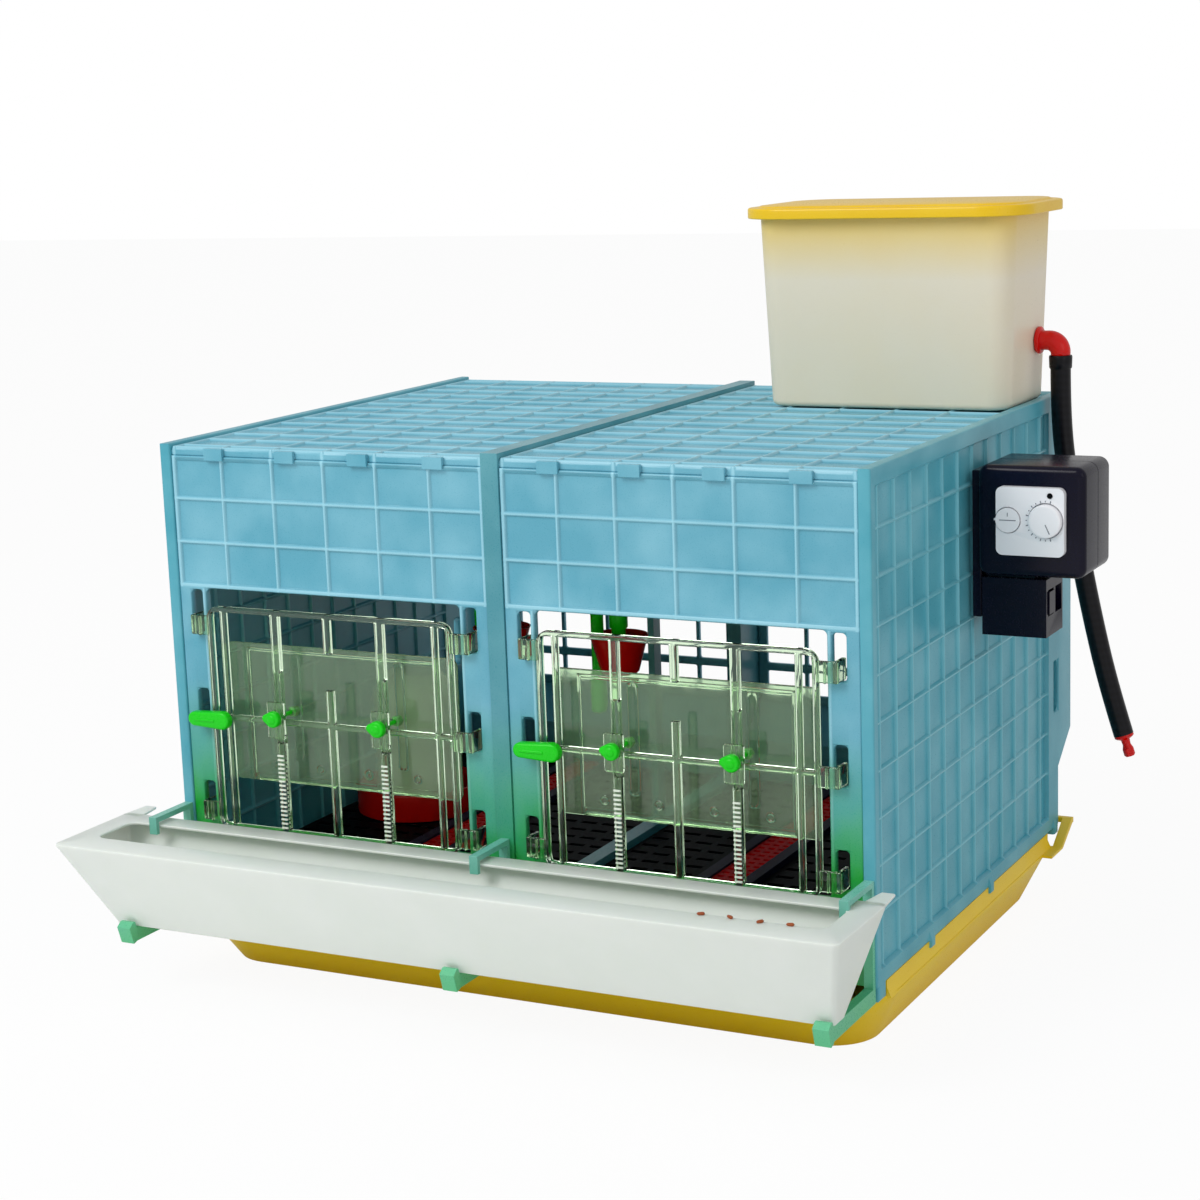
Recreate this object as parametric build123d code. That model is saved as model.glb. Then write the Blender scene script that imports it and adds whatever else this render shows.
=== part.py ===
"""Two-compartment chick brooder: a moulded cage on a slide-out tray, with a feed trough and a water tank.

Millimetres. X runs to the right, Y to the rear, Z up. The origin is the centre of the tray's underside.
"""
import os
from math import radians, tan

from build123d import *

# Cage body
HALF_WIDTH = 414.5
FRONT_Y = -328.0
REAR_Y = 328.0
BASE_Z = 76.0
EAVES_Z = 590.0
RIDGE_Z = 593.0
WALL_THICK = 13.5
FOOT_REAR_Y = 278.0
SLANT_LOW_Z = 148.0
SLANT_HIGH_Z = 186.0
RIDGE_HALF = 10.0
WALL_IN = HALF_WIDTH - WALL_THICK
SIDES = (-1, 1)

# Moulded grid
CELL = 48.0
TOP_RIB_Z = 532.8
WALL_RIB_Y = -304.8
WALL_RIB_STEP = 47.13
WALL_RIB_COUNT = 12
WALL_ROW_COUNT = 9
COLUMN_STEP = 65.32
COLUMN_COUNT = 6
RIB_WIDTH = 3.4
SKIN = 5.0
RIB_RISE = 3.0

# Front and back panels
PANEL_HALF = 195.5
PANEL_X = 205.5
PANEL_FRONT_Y = -326.0
PANEL_DEPTH = 9.0
PANEL_TOP_Z = 580.0
OPENING_HALF = 161.0
OPENING_LOW_Z = 163.0
OPENING_TOP_Z = 433.6
SLOT_X = 173.5
SLOT_WIDTH = 15.0
SLOT_CORNER = 5.0
SLOT_SPANS = ((383.5, 431.7), (278.0, 320.0), (172.0, 213.4))
BACK_BAR_ZS = (232.0, 331.0)

# Door
DOOR_HALF = 155.0
DOOR_LOW_Z = 164.0
DOOR_TOP_Z = 416.0
DOOR_FRONT_Y = -337.0
DOOR_DEPTH = 8.0
DOOR_BAR = 6.0
DOOR_CORNER = 15.0
INNER_STILE_X = 134.0
RAIL_X = 66.5
DOOR_RAIL = 10.0
CROSS_BAR_Z = 292.0
DOOR_STUBS = ((166.0, 332.0), (372.0, 414.0))
DOOR_HOOKS = ((-1, 0), (-1, 2), (1, 0), (1, 1), (1, 2))
HOOK_HEIGHT = 22.0
HOOK_TONGUE = 5.0
HOOK_PLATE = 4.0
RUNG_STEP = 4.8
RUNG_COUNT = 18
RUNG_LOW_Z = 173.0
SCREW_SLOT_SPAN = (268.0, 348.0)

# Lever, knobs and feed pane
LEVER_LENGTH = 54.0
LEVER_HEIGHT = 20.0
LEVER_Z = 289.5
LEVER_TIP_X = -182.0
KNOB_RADIUS = 9.0
KNOB_Z = 298.0
BLOCK_SPAN = (275.0, 316.0)
SCREW_RADIUS = 2.3
PANE_HALF = 148.0
PANE_SPAN = (217.0, 373.0)
PANE_Y = (-314.0, -311.6)
PANE_INNER_HALF = 119.0

# Trough and its brackets
TROUGH_LOW = ((-431.0, 415.0), (-443.0, -412.0))
TROUGH_RIM = ((-469.0, 439.0), (-491.0, -362.0))
TROUGH_MOUTH = ((-441.0, 411.0), (-453.0, -390.0))
TROUGH_BASE_Z = 77.0
TROUGH_RIM_Z = 177.6
TROUGH_EAR_Y = -335.0
TROUGH_EAR_WIDTH = 24.0
TROUGH_WALL = 2.6
BRACKET_XS = (-407.5, 0.0, 407.5)
BRACKET_WIDTH = 10.0
CLAW_WIDTH = 17.0
BRACKET_FOOT_Z = 61.0
HOOK_TOP_Z = 187.0
CLAW_Y = -460.0

# Tray
TRAY_FLOOR = ((-388.0, 388.0), (-308.0, 254.0))
TRAY_RIM = ((-418.6, 418.6), (-347.0, 268.0))
TRAY_RIM_Z = 57.0
TRAY_WALL = 3.0
TRAY_CORNER_LOW = 50.0
TRAY_CORNER_TOP = 72.0
TRAY_BAND_SPAN = (-301.0, 236.0)
TRAY_LIP_Y = (279.5, 287.0)
TRAY_LIP_Z = 84.0
TRAY_EAR_X = (418.6, 430.0)

# Water tank
TANK_BASE = ((112.0, 400.0), (128.0, 277.0))
TANK_MOUTH = ((104.0, 408.0), (120.0, 285.0))
TANK_TOP_Z = 809.0
TANK_WALL = 3.0
TANK_CORNER = 24.0
LID_OVERHANG = 18.0
LID_TOP_Z = 819.0
LID_SKIRT = 12.0
OUTLET_Y = 234.0
OUTLET_Z = 659.0
ELBOW_X = 430.0
ELBOW_RADIUS = 10.0
ELBOW_TURN = 14.0
HOSE_DIAMETER = 23.0
HOSE_ROUTE = (
    (430.0, OUTLET_Y, 631.0),
    (430.0, OUTLET_Y, 572.0),
    (438.5, OUTLET_Y, 500.0),
    (452.0, OUTLET_Y, 418.0),
    (469.0, OUTLET_Y, 336.0),
    (487.0, OUTLET_Y, 262.0),
    (505.0, OUTLET_Y, 205.0),
)
PLUG_LENGTH = 26.0

# Thermostat on the right wall
STAT_X = (424.6, 540.0)
STAT_Y = (-45.0, 47.0)
STAT_Z = (440.0, 557.0)
STAT_SPLIT_Y = 2.0
STAT_WALL = 3.0
FACE_X = (447.0, 520.0)
FACE_Z = (464.0, 536.0)
DIAL_AT = (500.4, 501.6)
DIAL_RADIUS = 17.5
SWITCH_AT = (460.0, 501.0)
SWITCH_RADIUS = 13.0
LAMP_AT = (505.0, 528.0)
INLET_X = (426.0, 496.0)
INLET_Y = (-36.0, 22.0)
INLET_Z = (374.0, 436.0)
SWITCH_PIVOT_Y = -50.5
SWITCH_PIN = 1.2
ROCKER_PIVOT = (493.5, 410.0)
ROCKER_PIN = 1.2
PIN_GAP = 0.05
BOSS_Y = (-10.0, 14.0)
BOSS_SPANS = ((450.0, 465.0), (500.0, 515.0))

# Inside the cage
FLOOR_Z = 100.0
FLOOR_THICK = 4.0
BEAM_XS = (24.0, 164.0, 300.0, 388.0)
STRIP_XS = (-198.0, 170.0)
STRIP_HALF = 19.0
RAIL_WIDTH = 14.0
HEATER_SIZE = (300.0, 240.0, 22.0)
HEATER_SHELL = 1.5
HEATER_Y = 90.0
HEATER_Z = 556.0
DRINKER_AT = (-312.0, 8.0)
DRINKER_RADIUS = 76.0
CUP_AT = (72.0, -190.0)
CUP_Z = 340.0


def span(low, high):
    """Middle and length of an interval."""
    return (low + high) / 2, high - low


def block(x, y, z):
    """Block between two corners, given as an interval on each axis."""
    middles, lengths = zip(*(span(*pair) for pair in (x, y, z)))
    return Pos(*middles) * Box(*lengths)


def rod_x(y, z, radius, x):
    """Round bar along X."""
    middle, length = span(*x)
    return Pos(middle, y, z) * Rot(0, 90, 0) * Cylinder(radius, length)


def rod_y(x, z, radius, y):
    """Round bar along Y."""
    middle, length = span(*y)
    return Pos(x, middle, z) * Rot(90, 0, 0) * Cylinder(radius, length)


def rod_z(x, y, radius, z):
    """Upright round bar."""
    middle, length = span(*z)
    return Pos(x, y, middle) * Cylinder(radius, length)


def prism_x(outline, x):
    """Outline in Y and Z, carried along X."""
    face = make_face(Plane.YZ * Polyline(*outline, close=True))
    return Pos(x[0], 0, 0) * extrude(face, x[1] - x[0], dir=(1, 0, 0))


def prism_y(outline, y):
    """Outline in X and Z, carried along Y."""
    face = make_face(Polyline(*[(a, y[0], b) for a, b in outline], close=True))
    return extrude(face, y[1] - y[0], dir=(0, 1, 0))


def prism_z(outline, z):
    """Outline in X and Y, carried up Z."""
    face = make_face(Polyline(*[(a, b, z[0]) for a, b in outline], close=True))
    return extrude(face, z[1] - z[0], dir=(0, 0, 1))


def rounded_section(area, z, radius, inset=0.0):
    """Rounded rectangle at one height, drawn in from its area by an inset."""
    (x_mid, x_len), (y_mid, y_len) = (span(*pair) for pair in area)
    corner = max(radius - inset, 1.0)
    return Pos(x_mid, y_mid, z) * RectangleRounded(x_len - 2 * inset, y_len - 2 * inset, corner)


def tub(low, high, z_low, z_high, radii, wall):
    """Open tub whose sides lean from a low outline to a high one."""
    outer = loft([rounded_section(low, z_low, radii[0]), rounded_section(high, z_high, radii[1])])
    floor_z = z_low + wall
    rise = wall / (z_high - z_low)
    mid_area = []
    for low_pair, high_pair in zip(low, high):
        mid_area.append(tuple(a + (b - a) * rise for a, b in zip(low_pair, high_pair)))
    mid_radius = radii[0] + (radii[1] - radii[0]) * rise
    hollow = loft(
        [rounded_section(mid_area, floor_z, mid_radius, wall), rounded_section(high, z_high, radii[1], wall)]
    )
    return outer - hollow


def save(name, shape):
    """Write one sub-part."""
    export_step(shape, f"parts/{name}.step")


def side_wall(side):
    """Side wall: frame, thin skin and a grid of ribs on both faces, with a hand slot near the rear."""

    def across(inner, outer):
        return tuple(sorted((side * inner, side * outer)))

    outline = [
        (FRONT_Y, BASE_Z),
        (FRONT_Y, RIDGE_Z),
        (REAR_Y, RIDGE_Z),
        (REAR_Y, SLANT_HIGH_Z),
        (FOOT_REAR_Y, SLANT_LOW_Z),
        (FOOT_REAR_Y, BASE_Z),
    ]
    field_y = (FRONT_Y + 12, 238.0)
    field_z = (BASE_Z + 17, RIDGE_Z - 18)
    wall = prism_x(outline, across(WALL_IN, HALF_WIDTH))
    skin_in = WALL_IN + 3.5
    skin_out = skin_in + SKIN
    wall -= block(across(skin_out, HALF_WIDTH + 1), field_y, field_z)
    wall -= block(across(WALL_IN - 1, skin_in), field_y, field_z)
    ribs = []
    for faces in ((WALL_IN + 0.5, skin_in), (skin_out, skin_out + RIB_RISE)):
        for row in range(WALL_ROW_COUNT):
            z = TOP_RIB_Z - CELL * row
            ribs.append(block(across(*faces), field_y, (z - RIB_WIDTH / 2, z + RIB_WIDTH / 2)))
        for column in range(WALL_RIB_COUNT):
            y = WALL_RIB_Y + WALL_RIB_STEP * column
            ribs.append(block(across(*faces), (y - RIB_WIDTH / 2, y + RIB_WIDTH / 2), field_z))
    wall += ribs
    wall += block(across(WALL_IN, HALF_WIDTH), (FRONT_Y + 4, FRONT_Y + 24), (60.5, BASE_Z))
    for tab_y in (-171.0, 22.0, 262.0):
        wall += block(across(HALF_WIDTH, HALF_WIDTH + 2.5), (tab_y - 6, tab_y + 6), (69.0, 84.0))
    slot_middle = side * (WALL_IN + HALF_WIDTH) / 2
    slot = Pos(slot_middle, 268, 248) * Rot(0, 90, 0) * extrude(SlotOverall(62, 18), 12, both=True)
    return wall - slot


def middle_frame():
    """Frame between the compartments: front and rear posts, ridge, sill and two bars, open between them."""
    half = (-RIDGE_HALF, RIDGE_HALF)
    frame = block(half, (FRONT_Y, FRONT_Y + 17), (BASE_Z, RIDGE_Z))
    frame += block(half, (FRONT_Y, REAR_Y), (EAVES_Z - 12, RIDGE_Z + 2))
    frame += block(half, (FRONT_Y, FOOT_REAR_Y), (BASE_Z, FLOOR_Z + 8))
    rear_post = [
        (FOOT_REAR_Y - 14, BASE_Z),
        (FOOT_REAR_Y, BASE_Z),
        (FOOT_REAR_Y, SLANT_LOW_Z),
        (REAR_Y, SLANT_HIGH_Z),
        (REAR_Y, RIDGE_Z),
        (266, RIDGE_Z),
        (266, BASE_Z),
    ]
    frame += prism_x(rear_post, half)
    frame += block((-4, 4), (32, 50), (FLOOR_Z, EAVES_Z))
    frame += block((-4, 4), (FRONT_Y + 10, 270), (434, 446))
    return frame


def panel_grid(middle_x, face_y, rise, z_span, rows):
    """Raised ribs of a panel, and the edges round them."""
    low_z, high_z = z_span
    face = tuple(sorted((face_y, face_y + rise)))
    first = middle_x - COLUMN_STEP * (COLUMN_COUNT / 2)
    ribs = []
    for column in range(COLUMN_COUNT + 1):
        x = first + COLUMN_STEP * column
        x = min(max(x, middle_x - PANEL_HALF + 2), middle_x + PANEL_HALF - 2)
        ribs.append(block((x - RIB_WIDTH / 2, x + RIB_WIDTH / 2), face, (low_z, high_z)))
    across = (middle_x - PANEL_HALF, middle_x + PANEL_HALF)
    for z in rows:
        ribs.append(block(across, face, (z - RIB_WIDTH / 2, z + RIB_WIDTH / 2)))
    return ribs


def front_panel(side):
    """Front panel: ribbed top, opening for the door, and six hook slots in two side strips."""
    middle = side * PANEL_X
    ends = (middle - PANEL_HALF, middle + PANEL_HALF)
    back = PANEL_FRONT_Y + PANEL_DEPTH
    panel = block(ends, (PANEL_FRONT_Y, back), (BASE_Z, PANEL_TOP_Z))
    panel -= block(
        (ends[0] + 2, ends[1] - 2),
        (PANEL_FRONT_Y - 1, PANEL_FRONT_Y + RIB_RISE),
        (OPENING_TOP_Z + 4, PANEL_TOP_Z - 4),
    )
    rows = [TOP_RIB_Z - CELL * row for row in range(3)]
    panel += panel_grid(middle, PANEL_FRONT_Y, RIB_RISE, (OPENING_TOP_Z, PANEL_TOP_Z), rows)
    panel -= block(
        (middle - OPENING_HALF, middle + OPENING_HALF),
        (PANEL_FRONT_Y - 1, back + 1),
        (OPENING_LOW_Z, OPENING_TOP_Z),
    )
    for hand in SIDES:
        x = middle + hand * SLOT_X
        for low, high in SLOT_SPANS:
            z_mid, z_len = span(low, high)
            cutter = extrude(RectangleRounded(SLOT_WIDTH, z_len, SLOT_CORNER), 20, both=True)
            panel -= Pos(x, PANEL_FRONT_Y, z_mid) * Rot(90, 0, 0) * cutter
    return panel


def back_panel(side):
    """Back panel: ribbed top, a window crossed by the grid's columns and two bars, and a slanted foot."""
    middle = side * PANEL_X
    ends = (middle - PANEL_HALF, middle + PANEL_HALF)
    outer = REAR_Y - 2
    inner = outer - PANEL_DEPTH + RIB_RISE
    foot = FOOT_REAR_Y - 1
    shell = [
        (inner, PANEL_TOP_Z),
        (outer, PANEL_TOP_Z),
        (outer, SLANT_HIGH_Z + 1),
        (foot, SLANT_LOW_Z),
        (foot, BASE_Z),
        (foot - 6, BASE_Z),
        (foot - 6, SLANT_LOW_Z + 2.5),
        (inner, SLANT_HIGH_Z + 3.5),
    ]
    panel = prism_x(shell, ends)
    window_x = (ends[0] + 12, ends[1] - 12)
    panel -= block(window_x, (inner - 1, outer + 1), (SLANT_HIGH_Z + 12, OPENING_TOP_Z))
    panel -= block(window_x, (outer - RIB_RISE, outer + 1), (OPENING_TOP_Z + 4, PANEL_TOP_Z - 4))
    rows = [TOP_RIB_Z - CELL * row for row in range(3)]
    panel += panel_grid(middle, outer, -RIB_RISE, (OPENING_TOP_Z, PANEL_TOP_Z), rows)
    first = middle - COLUMN_STEP * (COLUMN_COUNT / 2 - 1)
    for column in range(COLUMN_COUNT - 1):
        x = first + COLUMN_STEP * column
        panel += block((x - 2.5, x + 2.5), (inner, outer), (SLANT_HIGH_Z + 10, OPENING_TOP_Z + 2))
    for z in BACK_BAR_ZS:
        panel += block(window_x, (inner, outer), (z - 5, z + 5))
    return panel


def roof_panel(side):
    """Roof panel: flat skin with ribs on top, lined up with the front's columns."""
    middle = side * PANEL_X
    ends = (middle - PANEL_HALF, middle + PANEL_HALF)
    depth = (FRONT_Y + 4, REAR_Y - 4)
    top = (EAVES_Z - RIB_RISE, EAVES_Z)
    panel = block(ends, depth, (PANEL_TOP_Z, EAVES_Z - RIB_RISE))
    ribs = []
    for column in range(COLUMN_COUNT + 1):
        x = middle + COLUMN_STEP * (column - COLUMN_COUNT / 2)
        x = min(max(x, ends[0] + 2), ends[1] - 2)
        ribs.append(block((x - RIB_WIDTH / 2, x + RIB_WIDTH / 2), depth, top))
    for row in range(WALL_RIB_COUNT + 2):
        y = WALL_RIB_Y + WALL_RIB_STEP * row
        ribs.append(block(ends, (y - RIB_WIDTH / 2, y + RIB_WIDTH / 2), top))
    for y in (depth[0] + 2, depth[1] - 2):
        ribs.append(block(ends, (y - 2, y + 2), top))
    return panel + ribs


def roof_clips():
    """Eight snap tabs that hold the roof's front edge over the front panels."""
    clips = []
    for side in SIDES:
        for place in (-1.5, -0.5, 0.5, 1.5):
            x = side * PANEL_X + place * 92.0
            clips.append(block((x - 12, x + 12), (FRONT_Y - 1, PANEL_FRONT_Y), (576.0, 589.0)))
            clips[-1] += block((x - 12, x + 12), (PANEL_FRONT_Y, FRONT_Y + 4), (580.2, 589.0))
    return Compound(children=clips)


def floor_mesh(side):
    """Slotted floor mat of one compartment."""
    middle = side * PANEL_X
    ends = (middle - PANEL_HALF + 1.5, middle + PANEL_HALF - 1.5)
    mat = block(ends, (-315.0, 262.0), (FLOOR_Z - FLOOR_THICK, FLOOR_Z))
    holes = Sketch() + [loc * Rectangle(20, 8) for loc in GridLocations(27.5, 28.5, 14, 20)]
    return mat - Pos(middle, -26.5, FLOOR_Z - FLOOR_THICK - 1) * extrude(holes, FLOOR_THICK + 2)


def floor_beams():
    """Beams from front to rear that carry the floor mats."""
    beams = []
    heights = (BASE_Z + 2, FLOOR_Z - FLOOR_THICK)
    for side in SIDES:
        for x in BEAM_XS:
            beams.append(block((side * x - 5, side * x + 5), (-317.0, 271.0), heights))
    return Compound(children=beams)


def litter_strips():
    """Raised slotted strips on the mats, one in each compartment."""
    strips = []
    for x in STRIP_XS:
        strip = block((x - STRIP_HALF, x + STRIP_HALF), (-305.0, 250.0), (FLOOR_Z, FLOOR_Z + 5))
        holes = Sketch() + [loc * Rectangle(8, 6) for loc in GridLocations(12, 14, 3, 38)]
        strips.append(strip - Pos(x, -27.5, FLOOR_Z + 2) * extrude(holes, 4))
    return Compound(children=strips)


def strip_rails():
    """Angle rails that hold the strips along both edges."""
    rails = []
    for x in STRIP_XS:
        for hand in SIDES:
            near = x + hand * STRIP_HALF
            far = near + hand * RAIL_WIDTH
            rails.append(block(tuple(sorted((near, far))), (-308.0, 254.0), (FLOOR_Z, FLOOR_Z + 8)))
    return Compound(children=rails)


def trough():
    """Feed trough: leaning thin walls, a lip turned in with room for each hook, and two rear ears."""
    body = tub(TROUGH_LOW, TROUGH_RIM, TROUGH_BASE_Z, TROUGH_RIM_Z, (4, 7), TROUGH_WALL)
    lip = extrude(rounded_section(TROUGH_RIM, TROUGH_RIM_Z - TROUGH_WALL, 7), TROUGH_WALL)
    cut_z = (TROUGH_RIM_Z - TROUGH_WALL - 1, TROUGH_RIM_Z + 1)
    mouth = extrude(rounded_section(TROUGH_MOUTH, cut_z[0], 12), TROUGH_WALL + 2)
    mouth_rear = TROUGH_MOUTH[1][1]
    for x in BRACKET_XS:
        hook_room = (x - BRACKET_WIDTH / 2 - 1, x + BRACKET_WIDTH / 2 + 1)
        mouth += block(hook_room, (mouth_rear - 12, mouth_rear), cut_z)
    (left, right), (_, rear) = TROUGH_RIM
    for edge, inward in ((left, 1), (right, -1)):
        ear = [
            (edge, rear - 8),
            (edge + inward * 3, TROUGH_EAR_Y),
            (edge + inward * (TROUGH_EAR_WIDTH - 6), TROUGH_EAR_Y),
            (edge + inward * (TROUGH_EAR_WIDTH - 0.4), rear + 4),
            (edge + inward * TROUGH_EAR_WIDTH, rear - 8),
        ]
        lip += prism_z(ear, (TROUGH_RIM_Z - TROUGH_WALL, TROUGH_RIM_Z))
    return body + (lip - mouth)


def trough_bracket(x):
    """C-shaped bracket: a hook over the trough's rear lip and an arm with a claw under its front."""
    arm = (x - BRACKET_WIDTH / 2, x + BRACKET_WIDTH / 2)
    claw = (x - CLAW_WIDTH / 2, x + CLAW_WIDTH / 2)
    spine_front = FRONT_Y - 6
    hook_front = TROUGH_MOUTH[1][1] - 6
    bracket = block(arm, (spine_front, FRONT_Y), (BRACKET_FOOT_Z, HOOK_TOP_Z))
    bracket += block(arm, (hook_front, FRONT_Y), (TROUGH_RIM_Z + 3.4, HOOK_TOP_Z))
    bracket += block(arm, (hook_front, hook_front + 5), (TROUGH_RIM_Z - 10, HOOK_TOP_Z))
    lower = [
        (FRONT_Y, BRACKET_FOOT_Z),
        (FRONT_Y, TROUGH_BASE_Z),
        (-446, TROUGH_BASE_Z),
        (-452, BRACKET_FOOT_Z),
    ]
    bracket += prism_x(lower, arm)
    claw_outline = [
        (-447, BRACKET_FOOT_Z + 2),
        (-447, TROUGH_BASE_Z),
        (-449.5, TROUGH_BASE_Z + 8),
        (-453.5, TROUGH_BASE_Z + 8),
        (CLAW_Y, TROUGH_BASE_Z + 3),
        (-454, BRACKET_FOOT_Z),
    ]
    return bracket + prism_x(claw_outline, claw)


def tray():
    """Droppings tray: leaning pan, raised side bands under the walls, and a turned-up rear lip with ears."""
    radii = (TRAY_CORNER_LOW, TRAY_CORNER_TOP)
    pan = tub(TRAY_FLOOR, TRAY_RIM, 0, TRAY_RIM_Z, radii, TRAY_WALL)
    rim = extrude(rounded_section(TRAY_RIM, TRAY_RIM_Z, TRAY_CORNER_TOP), TRAY_WALL)
    rim -= extrude(rounded_section(TRAY_RIM, TRAY_RIM_Z - 1, TRAY_CORNER_TOP, 14), TRAY_WALL + 2)
    pan += rim
    x_rim = TRAY_RIM[0][1]
    for side in SIDES:
        band = [
            (side * (WALL_IN + 2), TRAY_RIM_Z + 1),
            (side * x_rim, TRAY_RIM_Z + 1),
            (side * (HALF_WIDTH - 0.5), 68.0),
            (side * (HALF_WIDTH - 0.5), BASE_Z),
            (side * (WALL_IN + 2), BASE_Z),
        ]
        pan += prism_y(band, TRAY_BAND_SPAN)
    rear = [
        (TRAY_RIM[1][1] - 12, TRAY_RIM_Z),
        (TRAY_LIP_Y[0] - 2, TRAY_RIM_Z),
        (TRAY_LIP_Y[1], TRAY_LIP_Z - 8),
        (TRAY_LIP_Y[1], TRAY_LIP_Z),
        (TRAY_LIP_Y[0], TRAY_LIP_Z),
        (TRAY_LIP_Y[0], TRAY_RIM_Z + 14),
        (TRAY_LIP_Y[0] - 5, TRAY_RIM_Z + TRAY_WALL),
        (TRAY_RIM[1][1] - 12, TRAY_RIM_Z + TRAY_WALL),
    ]
    pan += prism_x(rear, (-x_rim + 30, x_rim - 30))
    for side in SIDES:
        ear = [
            (226, TRAY_RIM_Z),
            (244, TRAY_RIM_Z),
            (TRAY_LIP_Y[1], TRAY_LIP_Z - 4),
            (TRAY_LIP_Y[1], TRAY_LIP_Z),
            (TRAY_LIP_Y[0], TRAY_LIP_Z),
            (240, TRAY_RIM_Z + TRAY_WALL),
            (226, TRAY_RIM_Z + TRAY_WALL),
        ]
        pan += prism_x(ear, tuple(sorted((side * (x_rim + 0.4), side * TRAY_EAR_X[1]))))
        pan += block(
            tuple(sorted((side * (x_rim - 12), side * TRAY_EAR_X[1]))),
            (200, 240),
            (TRAY_RIM_Z, TRAY_RIM_Z + TRAY_WALL),
        )
        pan += block(
            tuple(sorted((side * (x_rim - 34), side * TRAY_EAR_X[1]))),
            TRAY_LIP_Y,
            (TRAY_LIP_Z - 6, TRAY_LIP_Z),
        )
    return pan


def tank():
    """Water tank: open tub that widens to a flat rim, with a hole for the outlet elbow."""
    shell = tub(TANK_BASE, TANK_MOUTH, EAVES_Z, TANK_TOP_Z, (TANK_CORNER, TANK_CORNER + 4), TANK_WALL)
    rim = extrude(rounded_section(TANK_MOUTH, TANK_TOP_Z - 3, TANK_CORNER + 10, -6), 3)
    rim -= extrude(rounded_section(TANK_MOUTH, TANK_TOP_Z - 4, TANK_CORNER + 4, TANK_WALL), 5)
    hole = Pos(404, OUTLET_Y, OUTLET_Z) * Rot(0, 90, 0) * Cylinder(8, 30)
    return shell + rim - hole


def tank_lid():
    """Lid: flat plate with a short skirt outside the tank's rim."""
    corner = TANK_CORNER + 14
    skirt_z = LID_TOP_Z - LID_SKIRT - 2
    lid = extrude(rounded_section(TANK_MOUTH, skirt_z, corner, -LID_OVERHANG), LID_TOP_Z - skirt_z)
    recess = rounded_section(TANK_MOUTH, skirt_z - 1, corner, -LID_OVERHANG + 3)
    return lid - extrude(recess, TANK_TOP_Z + 0.3 - (skirt_z - 1))


def tank_elbow():
    """Outlet elbow: stub through the tank wall, flange and a quarter bend down."""
    turn = ELBOW_TURN
    stub = Pos(398, OUTLET_Y, OUTLET_Z) * Rot(0, 90, 0) * Cylinder(8, 16)
    flange = Pos(405.5, OUTLET_Y, OUTLET_Z) * Rot(0, 90, 0) * Cylinder(15.5, 5)
    barrel = Pos(412, OUTLET_Y, OUTLET_Z) * Rot(0, 90, 0) * Cylinder(ELBOW_RADIUS, 8)
    bend_x = ELBOW_X - turn
    section = Plane.YZ.offset(bend_x) * Pos(OUTLET_Y, OUTLET_Z) * Circle(ELBOW_RADIUS)
    axis = Axis((bend_x, OUTLET_Y, OUTLET_Z - turn), (0, 1, 0))
    bend = revolve(section, axis, 90)
    leg = rod_z(ELBOW_X, OUTLET_Y, ELBOW_RADIUS, (OUTLET_Z - turn - 4, OUTLET_Z - turn))
    return stub + flange + barrel + bend + leg


def elbow_nut():
    """Nut that clamps the hose on the elbow."""
    return rod_z(ELBOW_X, OUTLET_Y, 13.0, (HOSE_ROUTE[0][2], OUTLET_Z - 18.0))


def hose():
    """Drain hose hanging down the wall: straight runs joined by arcs that touch both."""
    points = [Vector(*point) for point in HOSE_ROUTE]
    radii = []
    for before, corner, after in zip(points, points[1:], points[2:]):
        run_in, run_out = corner - before, after - corner
        half_turn = radians(run_in.get_angle(run_out)) / 2
        radii.append(0.45 * min(run_in.length, run_out.length) / tan(half_turn))
    print("hose radii", [round(radius) for radius in radii])
    path = FilletPolyline(*points, radius=radii)
    start = Plane(origin=points[0], z_dir=path % 0)
    print("hose length", round(path.length, 1))
    return sweep(start * Circle(HOSE_DIAMETER / 2), path=path), path


def hose_plug(end, heading):
    """Stopper in the hose's free end: collar, stem and a small cross grip."""
    at = Plane(origin=end, z_dir=heading)
    plug = at * Pos(0, 0, 2) * Cylinder(9.5, 4)
    plug += at * Pos(0, 0, 10) * Cylinder(5, 14)
    plug += at * Pos(0, 0, PLUG_LENGTH - 5) * Box(16, 5, 8)
    return plug


def stat_bracket():
    """Plate between the wall and the thermostat box, on two bosses that stand on the wall's skin."""
    plate = block((HALF_WIDTH, STAT_X[0]), (STAT_Y[0] + 12, STAT_Y[1] - 8), (392.0, STAT_Z[1] - 8))
    skin_face = WALL_IN + 3.5 + SKIN
    for boss_z in BOSS_SPANS:
        plate += block((skin_face, HALF_WIDTH), BOSS_Y, boss_z)
    return plate


def stat_half(y, open_low):
    """One half of the thermostat box, hollow towards the other half."""
    x_mid, x_len = span(*STAT_X)
    z_mid, z_len = span(*STAT_Z)
    y_mid, y_len = span(*y)
    outline = RectangleRounded(x_len, z_len, 9)
    shell = Pos(x_mid, y_mid, z_mid) * Rot(90, 0, 0) * extrude(outline, y_len / 2, both=True)
    core = RectangleRounded(x_len - 2 * STAT_WALL, z_len - 2 * STAT_WALL, 6)
    shift = -STAT_WALL if open_low else STAT_WALL
    return shell - Pos(x_mid, y_mid + shift, z_mid) * Rot(90, 0, 0) * extrude(core, y_len / 2, both=True)


def switch_pin_span(spare):
    """Interval in X of the round switch's pivot pin, longer at both ends by a spare length."""
    reach = SWITCH_RADIUS + 2.5 + spare
    return (SWITCH_AT[0] - reach, SWITCH_AT[0] + reach)


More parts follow.
